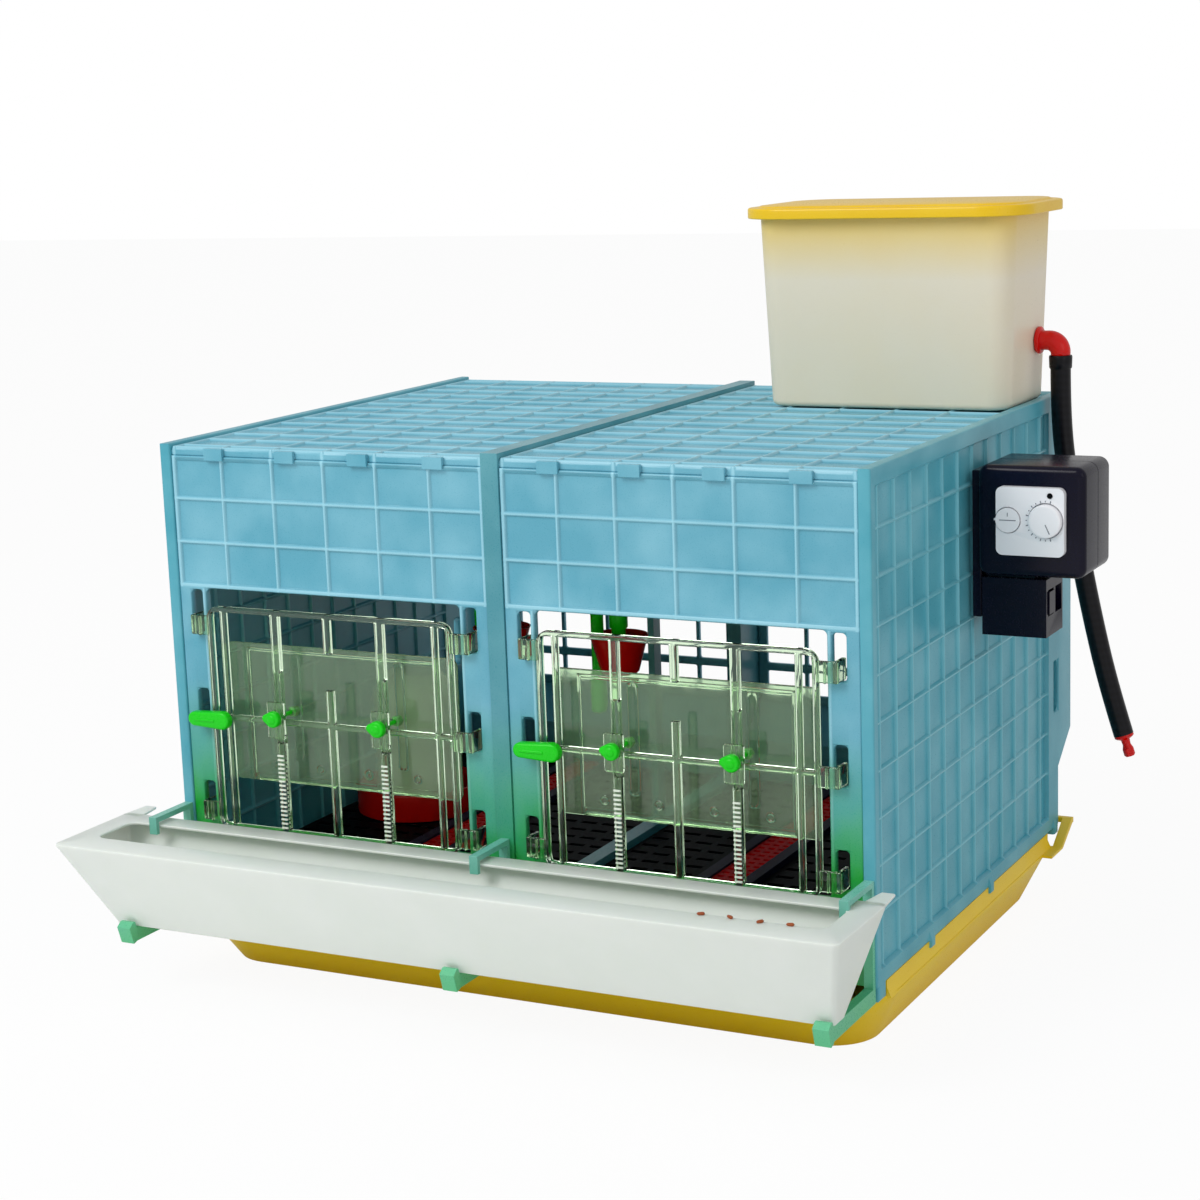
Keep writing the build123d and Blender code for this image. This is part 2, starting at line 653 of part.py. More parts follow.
def stat_face():
    """White control plate, with round recesses for the dial and the switch."""
    x_mid, x_len = span(*FACE_X)
    z_mid, z_len = span(*FACE_Z)
    front = STAT_Y[0] - 8
    blank = extrude(RectangleRounded(x_len, z_len, 7), 4, both=True)
    plate = Pos(x_mid, STAT_Y[0] - 4, z_mid) * Rot(90, 0, 0) * blank
    plate -= rod_y(*DIAL_AT, DIAL_RADIUS + 1.5, (front - 1, front + 5))
    plate -= rod_y(*SWITCH_AT, SWITCH_RADIUS + 1, (front - 1, front + 5))
    plate -= rod_y(*LAMP_AT, 3, (front - 1, front + 3))
    return plate - rod_x(SWITCH_PIVOT_Y, SWITCH_AT[1], SWITCH_PIN + PIN_GAP, switch_pin_span(0.3))


def stat_dial():
    """Temperature dial with a pointer rib."""
    front = STAT_Y[0] - 8
    x, z = DIAL_AT
    dial = rod_y(x, z, DIAL_RADIUS, (front - 4, front + 4.5))
    return dial + block((x - 1.2, x + 1.2), (front - 6, front - 4), (z, z + 15))


def stat_switch():
    """Round rocker switch on its pivot pin."""
    front = STAT_Y[0] - 8
    disc = rod_y(*SWITCH_AT, SWITCH_RADIUS, (front - 1.5, front + 3.5))
    return disc + rod_x(SWITCH_PIVOT_Y, SWITCH_AT[1], SWITCH_PIN, switch_pin_span(0.0))


def stat_lamp():
    """Pilot lamp."""
    front = STAT_Y[0] - 8
    return rod_y(*LAMP_AT, 2.8, (front - 1, front + 3))


def stat_screws():
    """Four screws that close the box, from behind."""
    screws = []
    for x in (STAT_X[0] + 10, STAT_X[1] - 10):
        for z in (STAT_Z[0] + 10, STAT_Z[1] - 10):
            screws.append(rod_y(x, z, 3.5, (STAT_Y[1], STAT_Y[1] + 2)))
    return Compound(children=screws)


def inlet_housing():
    """Power inlet under the box: block with a well for the rocker and a socket in its right side."""
    housing = block(INLET_X, INLET_Y, INLET_Z)
    neck_y = (INLET_Y[0] + 6, INLET_Y[1] - 6)
    housing += block((INLET_X[0] + 4, INLET_X[1] - 14), neck_y, (INLET_Z[1], STAT_Z[0]))
    housing -= block((INLET_X[1] - 6, INLET_X[1] + 1), (-30, -10), (396, 424))
    housing -= rod_y(*ROCKER_PIVOT, ROCKER_PIN + PIN_GAP, (-31.7, -8.3))
    return housing - block((INLET_X[1] - 24, INLET_X[1] + 1), (-4, 18), (396, 424))


def inlet_rocker():
    """Rocker of the mains switch, on its pivot pin."""
    rocker = block((INLET_X[1] - 4, INLET_X[1] + 1.5), (-29, -11), (398, 422))
    return rocker + rod_y(*ROCKER_PIVOT, ROCKER_PIN, (-31.5, -8.5))


def inlet_pins():
    """Contacts inside the power socket."""
    pins = []
    for y, z in ((1, 410), (13, 410), (7, 403)):
        pins.append(block((INLET_X[1] - 24, INLET_X[1] - 8), (y - 1.5, y + 1.5), (z - 1, z + 1)))
    return Compound(children=pins)


def heater_plate():
    """Heating plate under the right roof panel: a closed sheet case with ribs below."""
    x_len, y_len, z_len = HEATER_SIZE
    case = Pos(PANEL_X, HEATER_Y, HEATER_Z) * Box(x_len, y_len, z_len)
    inner = [length - 2 * HEATER_SHELL for length in HEATER_SIZE]
    case -= Pos(PANEL_X, HEATER_Y, HEATER_Z) * Box(*inner)
    rib_z = HEATER_Z - z_len / 2 - 2
    return case + [Pos(PANEL_X, HEATER_Y + 30 * row, rib_z) * Box(x_len - 30, 4, 4) for row in range(-3, 4)]


def heater_hangers():
    """Four posts between the heating plate and the roof."""
    posts = []
    heights = (HEATER_Z + HEATER_SIZE[2] / 2, PANEL_TOP_Z)
    for x in (-120, 120):
        for y in (-90, 90):
            posts.append(rod_z(PANEL_X + x, HEATER_Y + y, 5, heights))
    return Compound(children=posts)


def heat_sensor():
    """Temperature probe on the right wall, inside."""
    probe = block((WALL_IN - 14, WALL_IN + 0.5), (-6, 14), (430, 456))
    return probe + rod_z(WALL_IN - 8, 4, 3, (400, 430))


def drinker_base():
    """Ring dish of the floor drinker."""
    x, y = DRINKER_AT
    dish = rod_z(x, y, DRINKER_RADIUS, (FLOOR_Z, FLOOR_Z + 34))
    dish -= rod_z(x, y, DRINKER_RADIUS - 4, (FLOOR_Z + 4, FLOOR_Z + 35))
    return dish + rod_z(x, y, 46, (FLOOR_Z + 3, FLOOR_Z + 12))


def drinker_jar():
    """Water jar of the floor drinker."""
    x, y = DRINKER_AT
    jar = rod_z(x, y, 50, (FLOOR_Z + 12, FLOOR_Z + 150))
    top = Pos(x, y, FLOOR_Z + 150) * Cone(50, 34, 22, align=(Align.CENTER, Align.CENTER, Align.MIN))
    hollow = rod_z(x, y, 47, (FLOOR_Z + 15, FLOOR_Z + 148))
    return jar + top - hollow


def cup(side):
    """Cup of a hanging drinker."""
    x, y = side * CUP_AT[0], CUP_AT[1]
    bowl = Pos(x, y, CUP_Z) * Cone(20, 32, 42, align=(Align.CENTER, Align.CENTER, Align.MIN))
    hollow = Pos(x, y, CUP_Z + 4) * Cone(17.5, 29.5, 39, align=(Align.CENTER, Align.CENTER, Align.MIN))
    return bowl - hollow


def drinker_cups():
    """Cups of the two hanging drinkers."""
    return Compound(children=[cup(side) for side in SIDES])


def drinker_stems():
    """Valve stems that feed the cups, and the post under each."""
    stems = []
    for side in SIDES:
        x, y = side * CUP_AT[0], CUP_AT[1]
        stems.append(rod_z(x, y, 10, (CUP_Z + 4, CUP_Z + 66)))
    return Compound(children=stems)


def drinker_caps():
    """Caps on the valve stems."""
    caps = []
    for side in SIDES:
        x, y = side * CUP_AT[0], CUP_AT[1]
        caps.append(rod_z(x, y, 17, (CUP_Z + 66, CUP_Z + 78)))
    return Compound(children=caps)


def water_pipe():
    """Pipe that joins both drinkers across the middle frame, and its riser to the roof."""
    x, y = CUP_AT
    z = CUP_Z + 84
    cross = Pos(0, y, z) * Rot(0, 90, 0) * Cylinder(6, 2 * x)
    for side in SIDES:
        cross += rod_z(side * x, y, 6, (z - 6, z))
    return cross + rod_z(x, y, 6, (z, PANEL_TOP_Z))


def door(side):
    """Clear door: frame, stiles, rails with a screw slot, cross bar, stubs and five hooks."""
    middle = side * PANEL_X
    depth = (DOOR_FRONT_Y, DOOR_FRONT_Y + DOOR_DEPTH)
    y_mid, y_len = span(*depth)
    z_mid, z_len = span(DOOR_LOW_Z, DOOR_TOP_Z)

    def framed(half, height, corner):
        outline = RectangleRounded(2 * half, height, corner)
        return Pos(middle, y_mid, z_mid) * Rot(90, 0, 0) * extrude(outline, y_len / 2, both=True)

    def bar(x, z, width=DOOR_BAR):
        return block((middle + x - width / 2, middle + x + width / 2), depth, z)

    frame = framed(DOOR_HALF, z_len, DOOR_CORNER) - framed(
        DOOR_HALF - DOOR_BAR, z_len - 2 * DOOR_BAR, DOOR_CORNER - DOOR_BAR
    )
    full = (DOOR_LOW_Z + 2, DOOR_TOP_Z - 2)
    cross = (CROSS_BAR_Z - DOOR_BAR / 2, CROSS_BAR_Z + DOOR_BAR / 2)
    for hand in SIDES:
        frame += bar(hand * INNER_STILE_X, full)
        rail_x = middle + hand * RAIL_X
        rail = bar(hand * RAIL_X, full, DOOR_RAIL)
        rail -= block((rail_x - 2.7, rail_x + 2.7), (depth[0] - 1, depth[1] + 1), SCREW_SLOT_SPAN)
        frame += rail
        ends = sorted((rail_x + hand * DOOR_RAIL / 2, middle + hand * (DOOR_HALF - 2)))
        frame += block(ends, depth, cross)
    frame += block((middle - RAIL_X + DOOR_RAIL / 2, middle + RAIL_X - DOOR_RAIL / 2), depth, cross)
    for stub in DOOR_STUBS:
        frame += bar(0, stub, 8)
    tongue_half = HOOK_TONGUE / 2
    for hand, slot in DOOR_HOOKS:
        low = SLOT_SPANS[slot][0]
        heights = (low, low + HOOK_HEIGHT)
        tongue_x = middle + hand * SLOT_X
        plate = sorted((middle + hand * (DOOR_HALF - 1), tongue_x + hand * tongue_half))
        frame += block(plate, (DOOR_FRONT_Y, DOOR_FRONT_Y + HOOK_PLATE), heights)
        tongue = (tongue_x - tongue_half, tongue_x + tongue_half)
        frame += block(tongue, (DOOR_FRONT_Y, PANEL_FRONT_Y + PANEL_DEPTH + HOOK_PLATE), heights)
    return frame


def door_rack(side):
    """Toothed scales on the lower part of both door rails."""
    middle = side * PANEL_X
    rungs = []
    for hand in SIDES:
        for tooth in range(RUNG_COUNT):
            z = RUNG_LOW_Z + RUNG_STEP * tooth
            x = middle + hand * RAIL_X
            rungs.append(block((x - 4, x + 4), (DOOR_FRONT_Y - 1.5, DOOR_FRONT_Y), (z - 0.9, z + 0.9)))
    return Compound(children=rungs)


def lever(side):
    """Door lever: rounded bar that tapers towards its tip, on a hub pressed to the door."""
    tip = side * PANEL_X + LEVER_TIP_X
    hub_x = tip + LEVER_LENGTH - LEVER_HEIGHT / 2
    y = (DOOR_FRONT_Y - 10, DOOR_FRONT_Y - 1)
    outline = [(tip + 4, LEVER_Z - 6.5), (tip + 4, LEVER_Z + 6.5), (hub_x, LEVER_Z + 10), (hub_x, LEVER_Z - 10)]
    body = prism_y(outline, y)
    body += rod_y(tip + 6, LEVER_Z, 6.4, y)
    return body + rod_y(hub_x, LEVER_Z, LEVER_HEIGHT / 2, (y[0], DOOR_FRONT_Y - 0.3))


def feed_pane(side):
    """Sliding clear pane behind the door, with a raised border and a thick lower lip."""
    middle = side * PANEL_X
    x_mid, z_mid = middle, sum(PANE_SPAN) / 2
    y_mid, y_len = span(*PANE_Y)
    sheet = RectangleRounded(2 * PANE_HALF, PANE_SPAN[1] - PANE_SPAN[0], 10)
    pane = Pos(x_mid, y_mid, z_mid) * Rot(90, 0, 0) * extrude(sheet, y_len / 2, both=True)
    back = (PANE_Y[1], PANE_Y[1] + 2.4)
    for hand in SIDES:
        x = middle + hand * PANE_INNER_HALF
        pane += block((x - 2, x + 2), back, (PANE_SPAN[0] + 2, PANE_SPAN[1] - 6))
    across = (middle - PANE_INNER_HALF, middle + PANE_INNER_HALF)
    pane += block(across, back, (PANE_SPAN[1] - 9, PANE_SPAN[1] - 6))
    pane += block(across, (PANE_Y[1], PANE_Y[1] + 6), (PANE_SPAN[0] + 1, PANE_SPAN[0] + 8))
    for hand in SIDES:
        pane -= rod_y(middle + hand * RAIL_X, KNOB_Z, SCREW_RADIUS + 0.05, (PANE_Y[0] - 1, PANE_Y[1] + 3))
    return pane


def clamp_blocks(side):
    """Clear blocks under the knobs, each with its hole for the screw."""
    blocks = []
    for hand in SIDES:
        x = side * PANEL_X + hand * RAIL_X
        body = block((x - 11, x + 11), (DOOR_FRONT_Y - 7, DOOR_FRONT_Y - 2), BLOCK_SPAN)
        blocks.append(body - rod_y(x, KNOB_Z, SCREW_RADIUS + 0.05, (DOOR_FRONT_Y - 8, DOOR_FRONT_Y - 1)))
    return Compound(children=blocks)


def clamp_knob(side, hand):
    """Clamp knob: head, screw through the door and the pane, and a nut behind the pane."""
    x = side * PANEL_X + hand * RAIL_X
    head = rod_y(x, KNOB_Z, KNOB_RADIUS, (DOOR_FRONT_Y - 15, DOOR_FRONT_Y - 7.3))
    screw = rod_y(x, KNOB_Z, SCREW_RADIUS, (DOOR_FRONT_Y - 8, PANE_Y[1] + 10))
    nut = rod_y(x, KNOB_Z, 5.5, (PANE_Y[1] + 0.3, PANE_Y[1] + 10))
    return head + screw + nut


def build():
    """Write every sub-part."""
    os.makedirs("parts", exist_ok=True)
    paired = {
        "side_wall": side_wall,
        "front_panel": front_panel,
        "back_panel": back_panel,
        "roof_panel": roof_panel,
        "floor_mesh": floor_mesh,
        "door": door,
        "door_rack": door_rack,
        "door_lever": lever,
        "feed_pane": feed_pane,
        "clamp_blocks": clamp_blocks,
    }
    for side, word in zip(SIDES, ("left", "right")):
        for name, maker in paired.items():
            save(f"{name}_{word}", maker(side))
        for hand, place in zip(SIDES, ("a", "b")):
            save(f"clamp_knob_{word}_{place}", clamp_knob(side, hand))
    for x, word in zip(BRACKET_XS, ("left", "middle", "right")):
        save(f"trough_bracket_{word}", trough_bracket(x))
    tube, path = hose()
    save("drain_hose", tube)
    save("hose_plug", hose_plug(path @ 1, path % 1))
    save("thermostat_cover", stat_half((STAT_Y[0], STAT_SPLIT_Y), False))
    save("thermostat_back_box", stat_half((STAT_SPLIT_Y, STAT_Y[1]), True))
    singles = {
        "middle_frame": middle_frame,
        "roof_clips": roof_clips,
        "floor_beams": floor_beams,
        "litter_strips": litter_strips,
        "strip_rails": strip_rails,
        "feed_trough": trough,
        "droppings_tray": tray,
        "water_tank": tank,
        "tank_lid": tank_lid,
        "tank_elbow": tank_elbow,
        "elbow_nut": elbow_nut,
        "thermostat_bracket": stat_bracket,
        "thermostat_face": stat_face,
        "thermostat_dial": stat_dial,
        "thermostat_switch": stat_switch,
        "thermostat_lamp": stat_lamp,
        "thermostat_screws": stat_screws,
        "inlet_housing": inlet_housing,
        "inlet_rocker": inlet_rocker,
        "inlet_pins": inlet_pins,
        "heater_plate": heater_plate,
        "heater_hangers": heater_hangers,
        "heat_sensor": heat_sensor,
        "drinker_base": drinker_base,
        "drinker_jar": drinker_jar,
        "drinker_cups": drinker_cups,
        "drinker_stems": drinker_stems,
        "drinker_caps": drinker_caps,
        "water_pipe": water_pipe,
    }
    for name, maker in singles.items():
        save(name, maker())


build()
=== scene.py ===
"""Looks of a two-compartment chick brooder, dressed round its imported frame.

Sizes are in millimetres in the frame's own axes: X to the right, Y to the rear, Z up. A mesh is made in
millimetres and turned to metres as it is written.
"""
from __future__ import annotations

import logging
import math
from collections.abc import Callable
from dataclasses import dataclass, field
from enum import Enum

import bmesh
import bpy
import numpy as np
from mathutils import Matrix, Vector

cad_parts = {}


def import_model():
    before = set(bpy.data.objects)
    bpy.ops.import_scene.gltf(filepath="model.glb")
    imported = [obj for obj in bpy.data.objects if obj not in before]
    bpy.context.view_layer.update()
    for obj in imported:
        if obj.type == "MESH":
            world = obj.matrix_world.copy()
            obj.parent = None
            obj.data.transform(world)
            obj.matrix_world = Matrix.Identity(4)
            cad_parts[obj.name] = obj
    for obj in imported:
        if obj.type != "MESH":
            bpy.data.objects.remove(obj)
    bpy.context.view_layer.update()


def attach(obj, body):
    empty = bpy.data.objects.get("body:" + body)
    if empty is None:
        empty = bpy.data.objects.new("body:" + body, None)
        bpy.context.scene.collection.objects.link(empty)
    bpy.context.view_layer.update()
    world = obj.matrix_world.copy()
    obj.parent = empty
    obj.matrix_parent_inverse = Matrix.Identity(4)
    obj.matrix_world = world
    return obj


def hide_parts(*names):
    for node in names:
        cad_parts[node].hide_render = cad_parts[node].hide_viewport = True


LOG = logging.getLogger("brooder")
Array = np.ndarray
Span = tuple[float, float]
Place = tuple[float, float, float]
Steps = list[tuple[float, float]]
Relief = tuple[Array, Array, Array]
Socket = bpy.types.NodeSocket
Tree = bpy.types.NodeTree
Node = bpy.types.Node
Object = bpy.types.Object
MM = 0.001
SIDES = {"left": -1, "right": 1}

# Settings of a node that multiplies, and of one that mixes colours
MULTIPLY = {"operation": "MULTIPLY"}
COLOURS = {"data_type": "RGBA"}

# Grid lines beside an edge, in roundings, and across a rib, in half widths
EDGE_STEPS = np.array([-1.0, -0.5, -0.14, 0.14, 0.5, 1.0])
RIB_STEPS = np.array([-1, -0.7, -0.45, -0.2, 0.2, 0.45, 0.7, 1])
GRID_PITCH = 0.25
GRID_GAP = 0.15

# Angles in degrees: sharp edges of made and of softened pieces, and edges that get a bevel
CREASE = 42.0
SOFT_CREASE = 35.0
BEVEL_ANGLE = 50.0


class Plane(Enum):
    """Axes that a form's own across, up and depth directions take."""

    FRONT = (0, 2, 1)
    SIDE = (1, 2, 0)
    FLAT = (0, 1, 2)

    def points(self, across: Array, up: Array, depth: Array) -> Array:
        """Points in the frame's axes.

        Args:
            across: First coordinate of each point.
            up: Second coordinate of each point.
            depth: Third coordinate of each point.

        Returns:
            One row of X, Y and Z for each point.
        """
        made = np.empty((np.size(across), 3))
        for axis, values in zip(self.value, (across, up, depth)):
            made[:, axis] = np.ravel(values)
        return made


@dataclass
class Shell:
    """A closed surface: points, four-cornered faces, flat end faces, and how much each point is on a rib."""

    points: Array
    quads: Array
    caps: list[list[int]] = field(default_factory=list)
    rib: Array | None = None

    def placed(self, spin: Array, place: Place) -> Shell:
        """The shell turned by a matrix and then moved."""
        return Shell(self.points @ spin.T + np.array(place), self.quads, self.caps, self.rib)


def joined(shells: list[Shell]) -> Shell:
    """One shell from several, their faces renumbered.

    Args:
        shells: The shells to join.

    Returns:
        The joined shell.
    """
    starts = np.cumsum([0] + [len(shell.points) for shell in shells])
    quads = np.concatenate([shell.quads + start for shell, start in zip(shells, starts)])
    caps = [[int(i + start) for i in cap] for shell, start in zip(shells, starts) for cap in shell.caps]
    ribs = [np.zeros(len(shell.points)) if shell.rib is None else shell.rib for shell in shells]
    return Shell(np.concatenate([shell.points for shell in shells]), quads, caps, np.concatenate(ribs))


def lattice(rows: int, columns: int) -> Array:
    """Faces of a grid whose columns close on themselves.

    Args:
        rows: Number of loops.
        columns: Number of points in a loop.

    Returns:
        Four point numbers for each face.
    """
    row, column = np.meshgrid(np.arange(rows - 1), np.arange(columns), indexing="ij")
    here = row * columns + column
    beside = row * columns + (column + 1) % columns
    return np.stack([here, beside, beside + columns, here + columns], axis=-1).reshape(-1, 4)


def smooth_step(value: Array) -> Array:
    """Value held between 0 and 1, with level ends: three times its square less twice its cube."""
    held = np.clip(value, 0.0, 1.0)
    return held * held * (3.0 - 2.0 * held)


def ridge(place: Array, centres: Array, half: float) -> Array:
    """Height, 0 to 1, of rounded ribs on parallel lines: a smooth step from a rib's foot to its crown.

    Args:
        place: Coordinate across the ribs.
        centres: Coordinate of each rib.
        half: Half the rib's width at its foot.

    Returns:
        The height at each place.
    """
    nearest = np.abs(place[..., None] - np.asarray(centres)).min(axis=-1)
    return smooth_step((half - nearest) / (0.8 * half))


@dataclass(frozen=True)
class Rect:
    """A rectangle on a plate, with one radius at its corners."""

    across: Span
    up: Span
    corner: float = 0.0

    def inwards(self, across: Array, up: Array) -> Array:
        """Distance inwards from the nearest edge, negative outside.

        Args:
            across: First coordinate of each point.
            up: Second coordinate of each point.

        Returns:
            The distances.
        """
        beside = np.minimum(across - self.across[0], self.across[1] - across)
        above = np.minimum(up - self.up[0], self.up[1] - up)
        return np.minimum(beside, above)


@dataclass
class Plate:
    """A moulded plate on a grid of lines: cells left out make its openings, and its edges are rounded.

    The face's depth falls away as a quarter circle within the rounding of an edge, and relief is added to it.
    """

    plane: Plane
    solids: list[Rect]
    near: float
    far: float
    holes: list[Rect] = field(default_factory=list)
    rounding: float = 1.6
    corner: float = 0.0
    across_lines: Array = field(default_factory=lambda: np.zeros(0))
    up_lines: Array = field(default_factory=lambda: np.zeros(0))
    relief: Callable[[Array, Array], Relief] | None = None
    warp: Callable[[Array, Array], tuple[Array, Array]] | None = None

    def outline(self) -> Rect:
        """Smallest rectangle round all the solid ones.

        Returns:
            The rectangle.
        """
        spans = []
        for name in ("across", "up"):
            edges = [getattr(rect, name) for rect in self.solids]
            spans.append((min(low for low, _ in edges), max(high for _, high in edges)))
        return Rect(spans[0], spans[1])

    def lines(self, name: str, extra: Array) -> Array:
        """Grid lines in one direction: every edge, closer lines beside it, and the extra ones.

        Args:
            name: The direction, across or up.
            extra: More lines, where relief needs them.

        Returns:
            The lines, rising.
        """
        edges = np.array([edge for rect in [*self.solids, *self.holes] for edge in getattr(rect, name)])
        loose = [extra, (edges[:, None] + self.rounding * EDGE_STEPS).ravel()]
        for rect in self.holes:
            if rect.corner:
                steps = rect.corner * np.array([0.33, 0.66, 1.0])
                low, high = getattr(rect, name)
                loose += [low + steps, high - steps]
        if self.corner:
            low, high = getattr(self.outline(), name)
            steps = self.corner * np.linspace(0.15, 1.0, 6)
            loose += [low + steps, high - steps]
        exact = np.unique(np.round(edges, 3))
        spread = np.unique(np.round(np.concatenate(loose) / GRID_PITCH) * GRID_PITCH)
        spread = spread[(spread > exact[0]) & (spread < exact[-1])]
        spread = spread[np.abs(spread[:, None] - exact).min(axis=1) > GRID_GAP]
        return np.sort(np.concatenate([exact, spread]))

    def rounded_holes(self, across: Array, up: Array) -> tuple[Array, Array]:
        """Points of each hole's corners moved on to their arcs, from the corner's diagonal to its two ends.

        Args:
            across: First coordinate of each point.
            up: Second coordinate of each point.

        Returns:
            The moved coordinates.
        """
        flat_across, flat_up = across, up
        edges = ((0, 1), (1, -1))
        ends = [(side, hand, end, rise) for side, hand in edges for end, rise in edges]
        for hole in (rect for rect in self.holes if rect.corner):
            radius = hole.corner
            for side, hand, end, rise in ends:
                along = (flat_across - hole.across[side]) * hand
                above = (flat_up - hole.up[end]) * rise
                for first, second in ((along, above), (above, along)):
                    on_edge = (np.abs(second) < 1e-3) & (first > -1e-3) & (first <= radius + 1e-3)
                    angle = math.pi / 4 * (1 - np.clip(first / radius, 0, 1))
                    slide = radius * (1 - np.sin(angle))
                    lift = radius * (1 - np.cos(angle))
                    new_along, new_above = (slide, lift) if first is along else (lift, slide)
                    across = np.where(on_edge, hole.across[side] + hand * new_along, across)
                    up = np.where(on_edge, hole.up[end] + rise * new_above, up)
        return across, up

    def rounded_outline(self, across: Array, up: Array) -> tuple[Array, Array]:
        """The outline's corner squares pressed into quarter discs: each side shrinks as the other grows.

        Args:
            across: First coordinate of each point.
            up: Second coordinate of each point.

        Returns:
            The moved coordinates.
        """
        box, radius = self.outline(), self.corner
        middle_a, middle_u = sum(box.across) / 2, sum(box.up) / 2
        reach_a = (box.across[1] - box.across[0]) / 2 - radius
        reach_u = (box.up[1] - box.up[0]) / 2 - radius
        s = np.clip((np.abs(across - middle_a) - reach_a) / radius, 0, 1)
        t = np.clip((np.abs(up - middle_u) - reach_u) / radius, 0, 1)
        in_corner = (s > 0) & (t > 0)
        new_a = middle_a + np.sign(across - middle_a) * (reach_a + radius * s * np.sqrt(1 - t * t / 2))
        new_u = middle_u + np.sign(up - middle_u) * (reach_u + radius * t * np.sqrt(1 - s * s / 2))
        return np.where(in_corner, new_a, across), np.where(in_corner, new_u, up)

    def shell(self) -> Shell:
        """The plate as a closed surface: kept cells of the grid, at the near and the far depth.

        Returns:
            The surface.
        """
        a_lines = self.lines("across", self.across_lines)
        u_lines = self.lines("up", self.up_lines)
        across, up = np.meshgrid(a_lines, u_lines, indexing="ij")
        middles = ((a_lines[1:] + a_lines[:-1]) / 2, (u_lines[1:] + u_lines[:-1]) / 2)
        mid_a, mid_u = np.meshgrid(*middles, indexing="ij")
        keep = np.max([rect.inwards(mid_a, mid_u) for rect in self.solids], axis=0) > 0
        depth_in = np.max([rect.inwards(across, up) for rect in self.solids], axis=0)
        for hole in self.holes:
            keep &= hole.inwards(mid_a, mid_u) < 0
            depth_in = np.minimum(depth_in, -hole.inwards(across, up))
        share = 1 - np.clip(depth_in / self.rounding, 0, 1)
        fall = self.rounding * (1 - np.sqrt(1 - share * share)) * np.sign(self.far - self.near)
        near, far, rib = self.near + fall, self.far - fall, np.zeros_like(across)
        if self.relief:
            near_relief, far_relief, rib = self.relief(across, up)
            near, far = near + near_relief, far + far_relief
        across, up = self.rounded_holes(across, up)
        if self.corner:
            across, up = self.rounded_outline(across, up)
        if self.warp:
            across, up = self.warp(across, up)
        points = np.concatenate([self.plane.points(across, up, depth) for depth in (near, far)])
        used, quads = np.unique(self.faces(keep), return_inverse=True)
        return Shell(points[used], quads.reshape(-1, 4), [], np.tile(rib.ravel(), 2)[used])

    @staticmethod
    def faces(keep: Array) -> Array:
        """Both faces of the kept cells, and the edges where a kept cell meets none.

        Args:
            keep: Whether each cell is solid.

        Returns:
            Four point numbers for each face.
        """
        rows, columns = keep.shape[0] + 1, keep.shape[1] + 1
        number = np.arange(rows * columns).reshape(rows, columns)
        layer = rows * columns
        corners = [number[:-1, :-1], number[1:, :-1], number[1:, 1:], number[:-1, 1:]]
        cells = np.stack(corners, axis=-1)[keep]
        ringed = np.pad(keep, 1)
        upright = ringed[:-1, 1:-1] != ringed[1:, 1:-1]
        level = ringed[1:-1, :-1] != ringed[1:-1, 1:]
        upright_edges = (number[:, :-1][upright], number[:, 1:][upright])
        level_edges = (number[:-1][level], number[1:][level])
        sides = []
        for start, end in (upright_edges, level_edges):
            sides.append(np.stack([start, end, end + layer, start + layer], axis=-1))
        return np.concatenate([cells, cells[:, ::-1] + layer, *sides])


@dataclass(frozen=True)
class Loop:
    """A convex outline at one level: the line drawn tight round its circles, with lobes where it has them."""

    circles: tuple[Place, ...]
    level: float
    lobes: int = 0
    lobe_share: float = 0.0

    def line(self, count: int) -> tuple[Array, Array]:
        """The outline's points: for each direction, the furthest point of the circle that reaches furthest.

        Args:
            count: Number of points.

        Returns:
            Their first and second coordinates.
        """
        angle = 2 * np.pi * (np.arange(count) + 0.5) / count
        circles = np.array(self.circles)
        reach = circles[:, :1] * np.cos(angle) + circles[:, 1:2] * np.sin(angle) + circles[:, 2:]
        a, b, radius = circles[reach.argmax(axis=0)].T
        radius = radius * (1 + self.lobe_share * np.cos(self.lobes * angle))
        return a + radius * np.cos(angle), b + radius * np.sin(angle)


def stack(box: tuple[Span, Span], corner: float, steps: Steps) -> list[Loop]:
    """Loops of one rounded rectangle, each drawn in from its edges by an inset.

    Args:
        box: Its two intervals.
        corner: Radius of its corners before the inset.
        steps: Level and inset of each loop.

    Returns:
        The loops.
    """
    (a0, a1), (u0, u1) = box
    loops = []
    for level, inset in steps:
        radius = max(corner - inset, 0.4)
        near_a, far_a = a0 + inset + radius, a1 - inset - radius
        near_u, far_u = u0 + inset + radius, u1 - inset - radius
        places = ((near_a, near_u), (far_a, near_u), (far_a, far_u), (near_a, far_u))
        loops.append(Loop(tuple((a, u, radius) for a, u in places), level))
    return loops


def end_caps(rows: int, count: int) -> list[list[int]]:
    """The first and the last of a number of loops, as flat faces."""
    last = (rows - 1) * count
    return [list(range(count))[::-1], list(range(last, last + count))]


def lofted(plane: Plane, loops: list[Loop], count: int = 48) -> Shell:
    """Closed surface through loops, flat at both ends.

    Args:
        plane: Axes that the loops lie in.
        loops: The loops, in order.
        count: Number of points in each.

    Returns:
        The surface.
    """
    points = [plane.points(*loop.line(count), np.full(count, loop.level)) for loop in loops]
    return Shell(np.concatenate(points), lattice(len(loops), count), end_caps(len(loops), count))


def falling(start: float, radius: float, steps: int = 4) -> Steps:
    """Level and inset round a quarter circle, from an edge's crown down to its foot at a start level.

    Args:
        start: Level of the side, where the inset is nothing.
        radius: Radius of the edge, towards lower levels.
        steps: Number of steps.

    Returns:
        The levels and insets, from the crown.
    """
    return [(2 * start - level, inset) for level, inset in rising(start, radius, steps)][::-1]


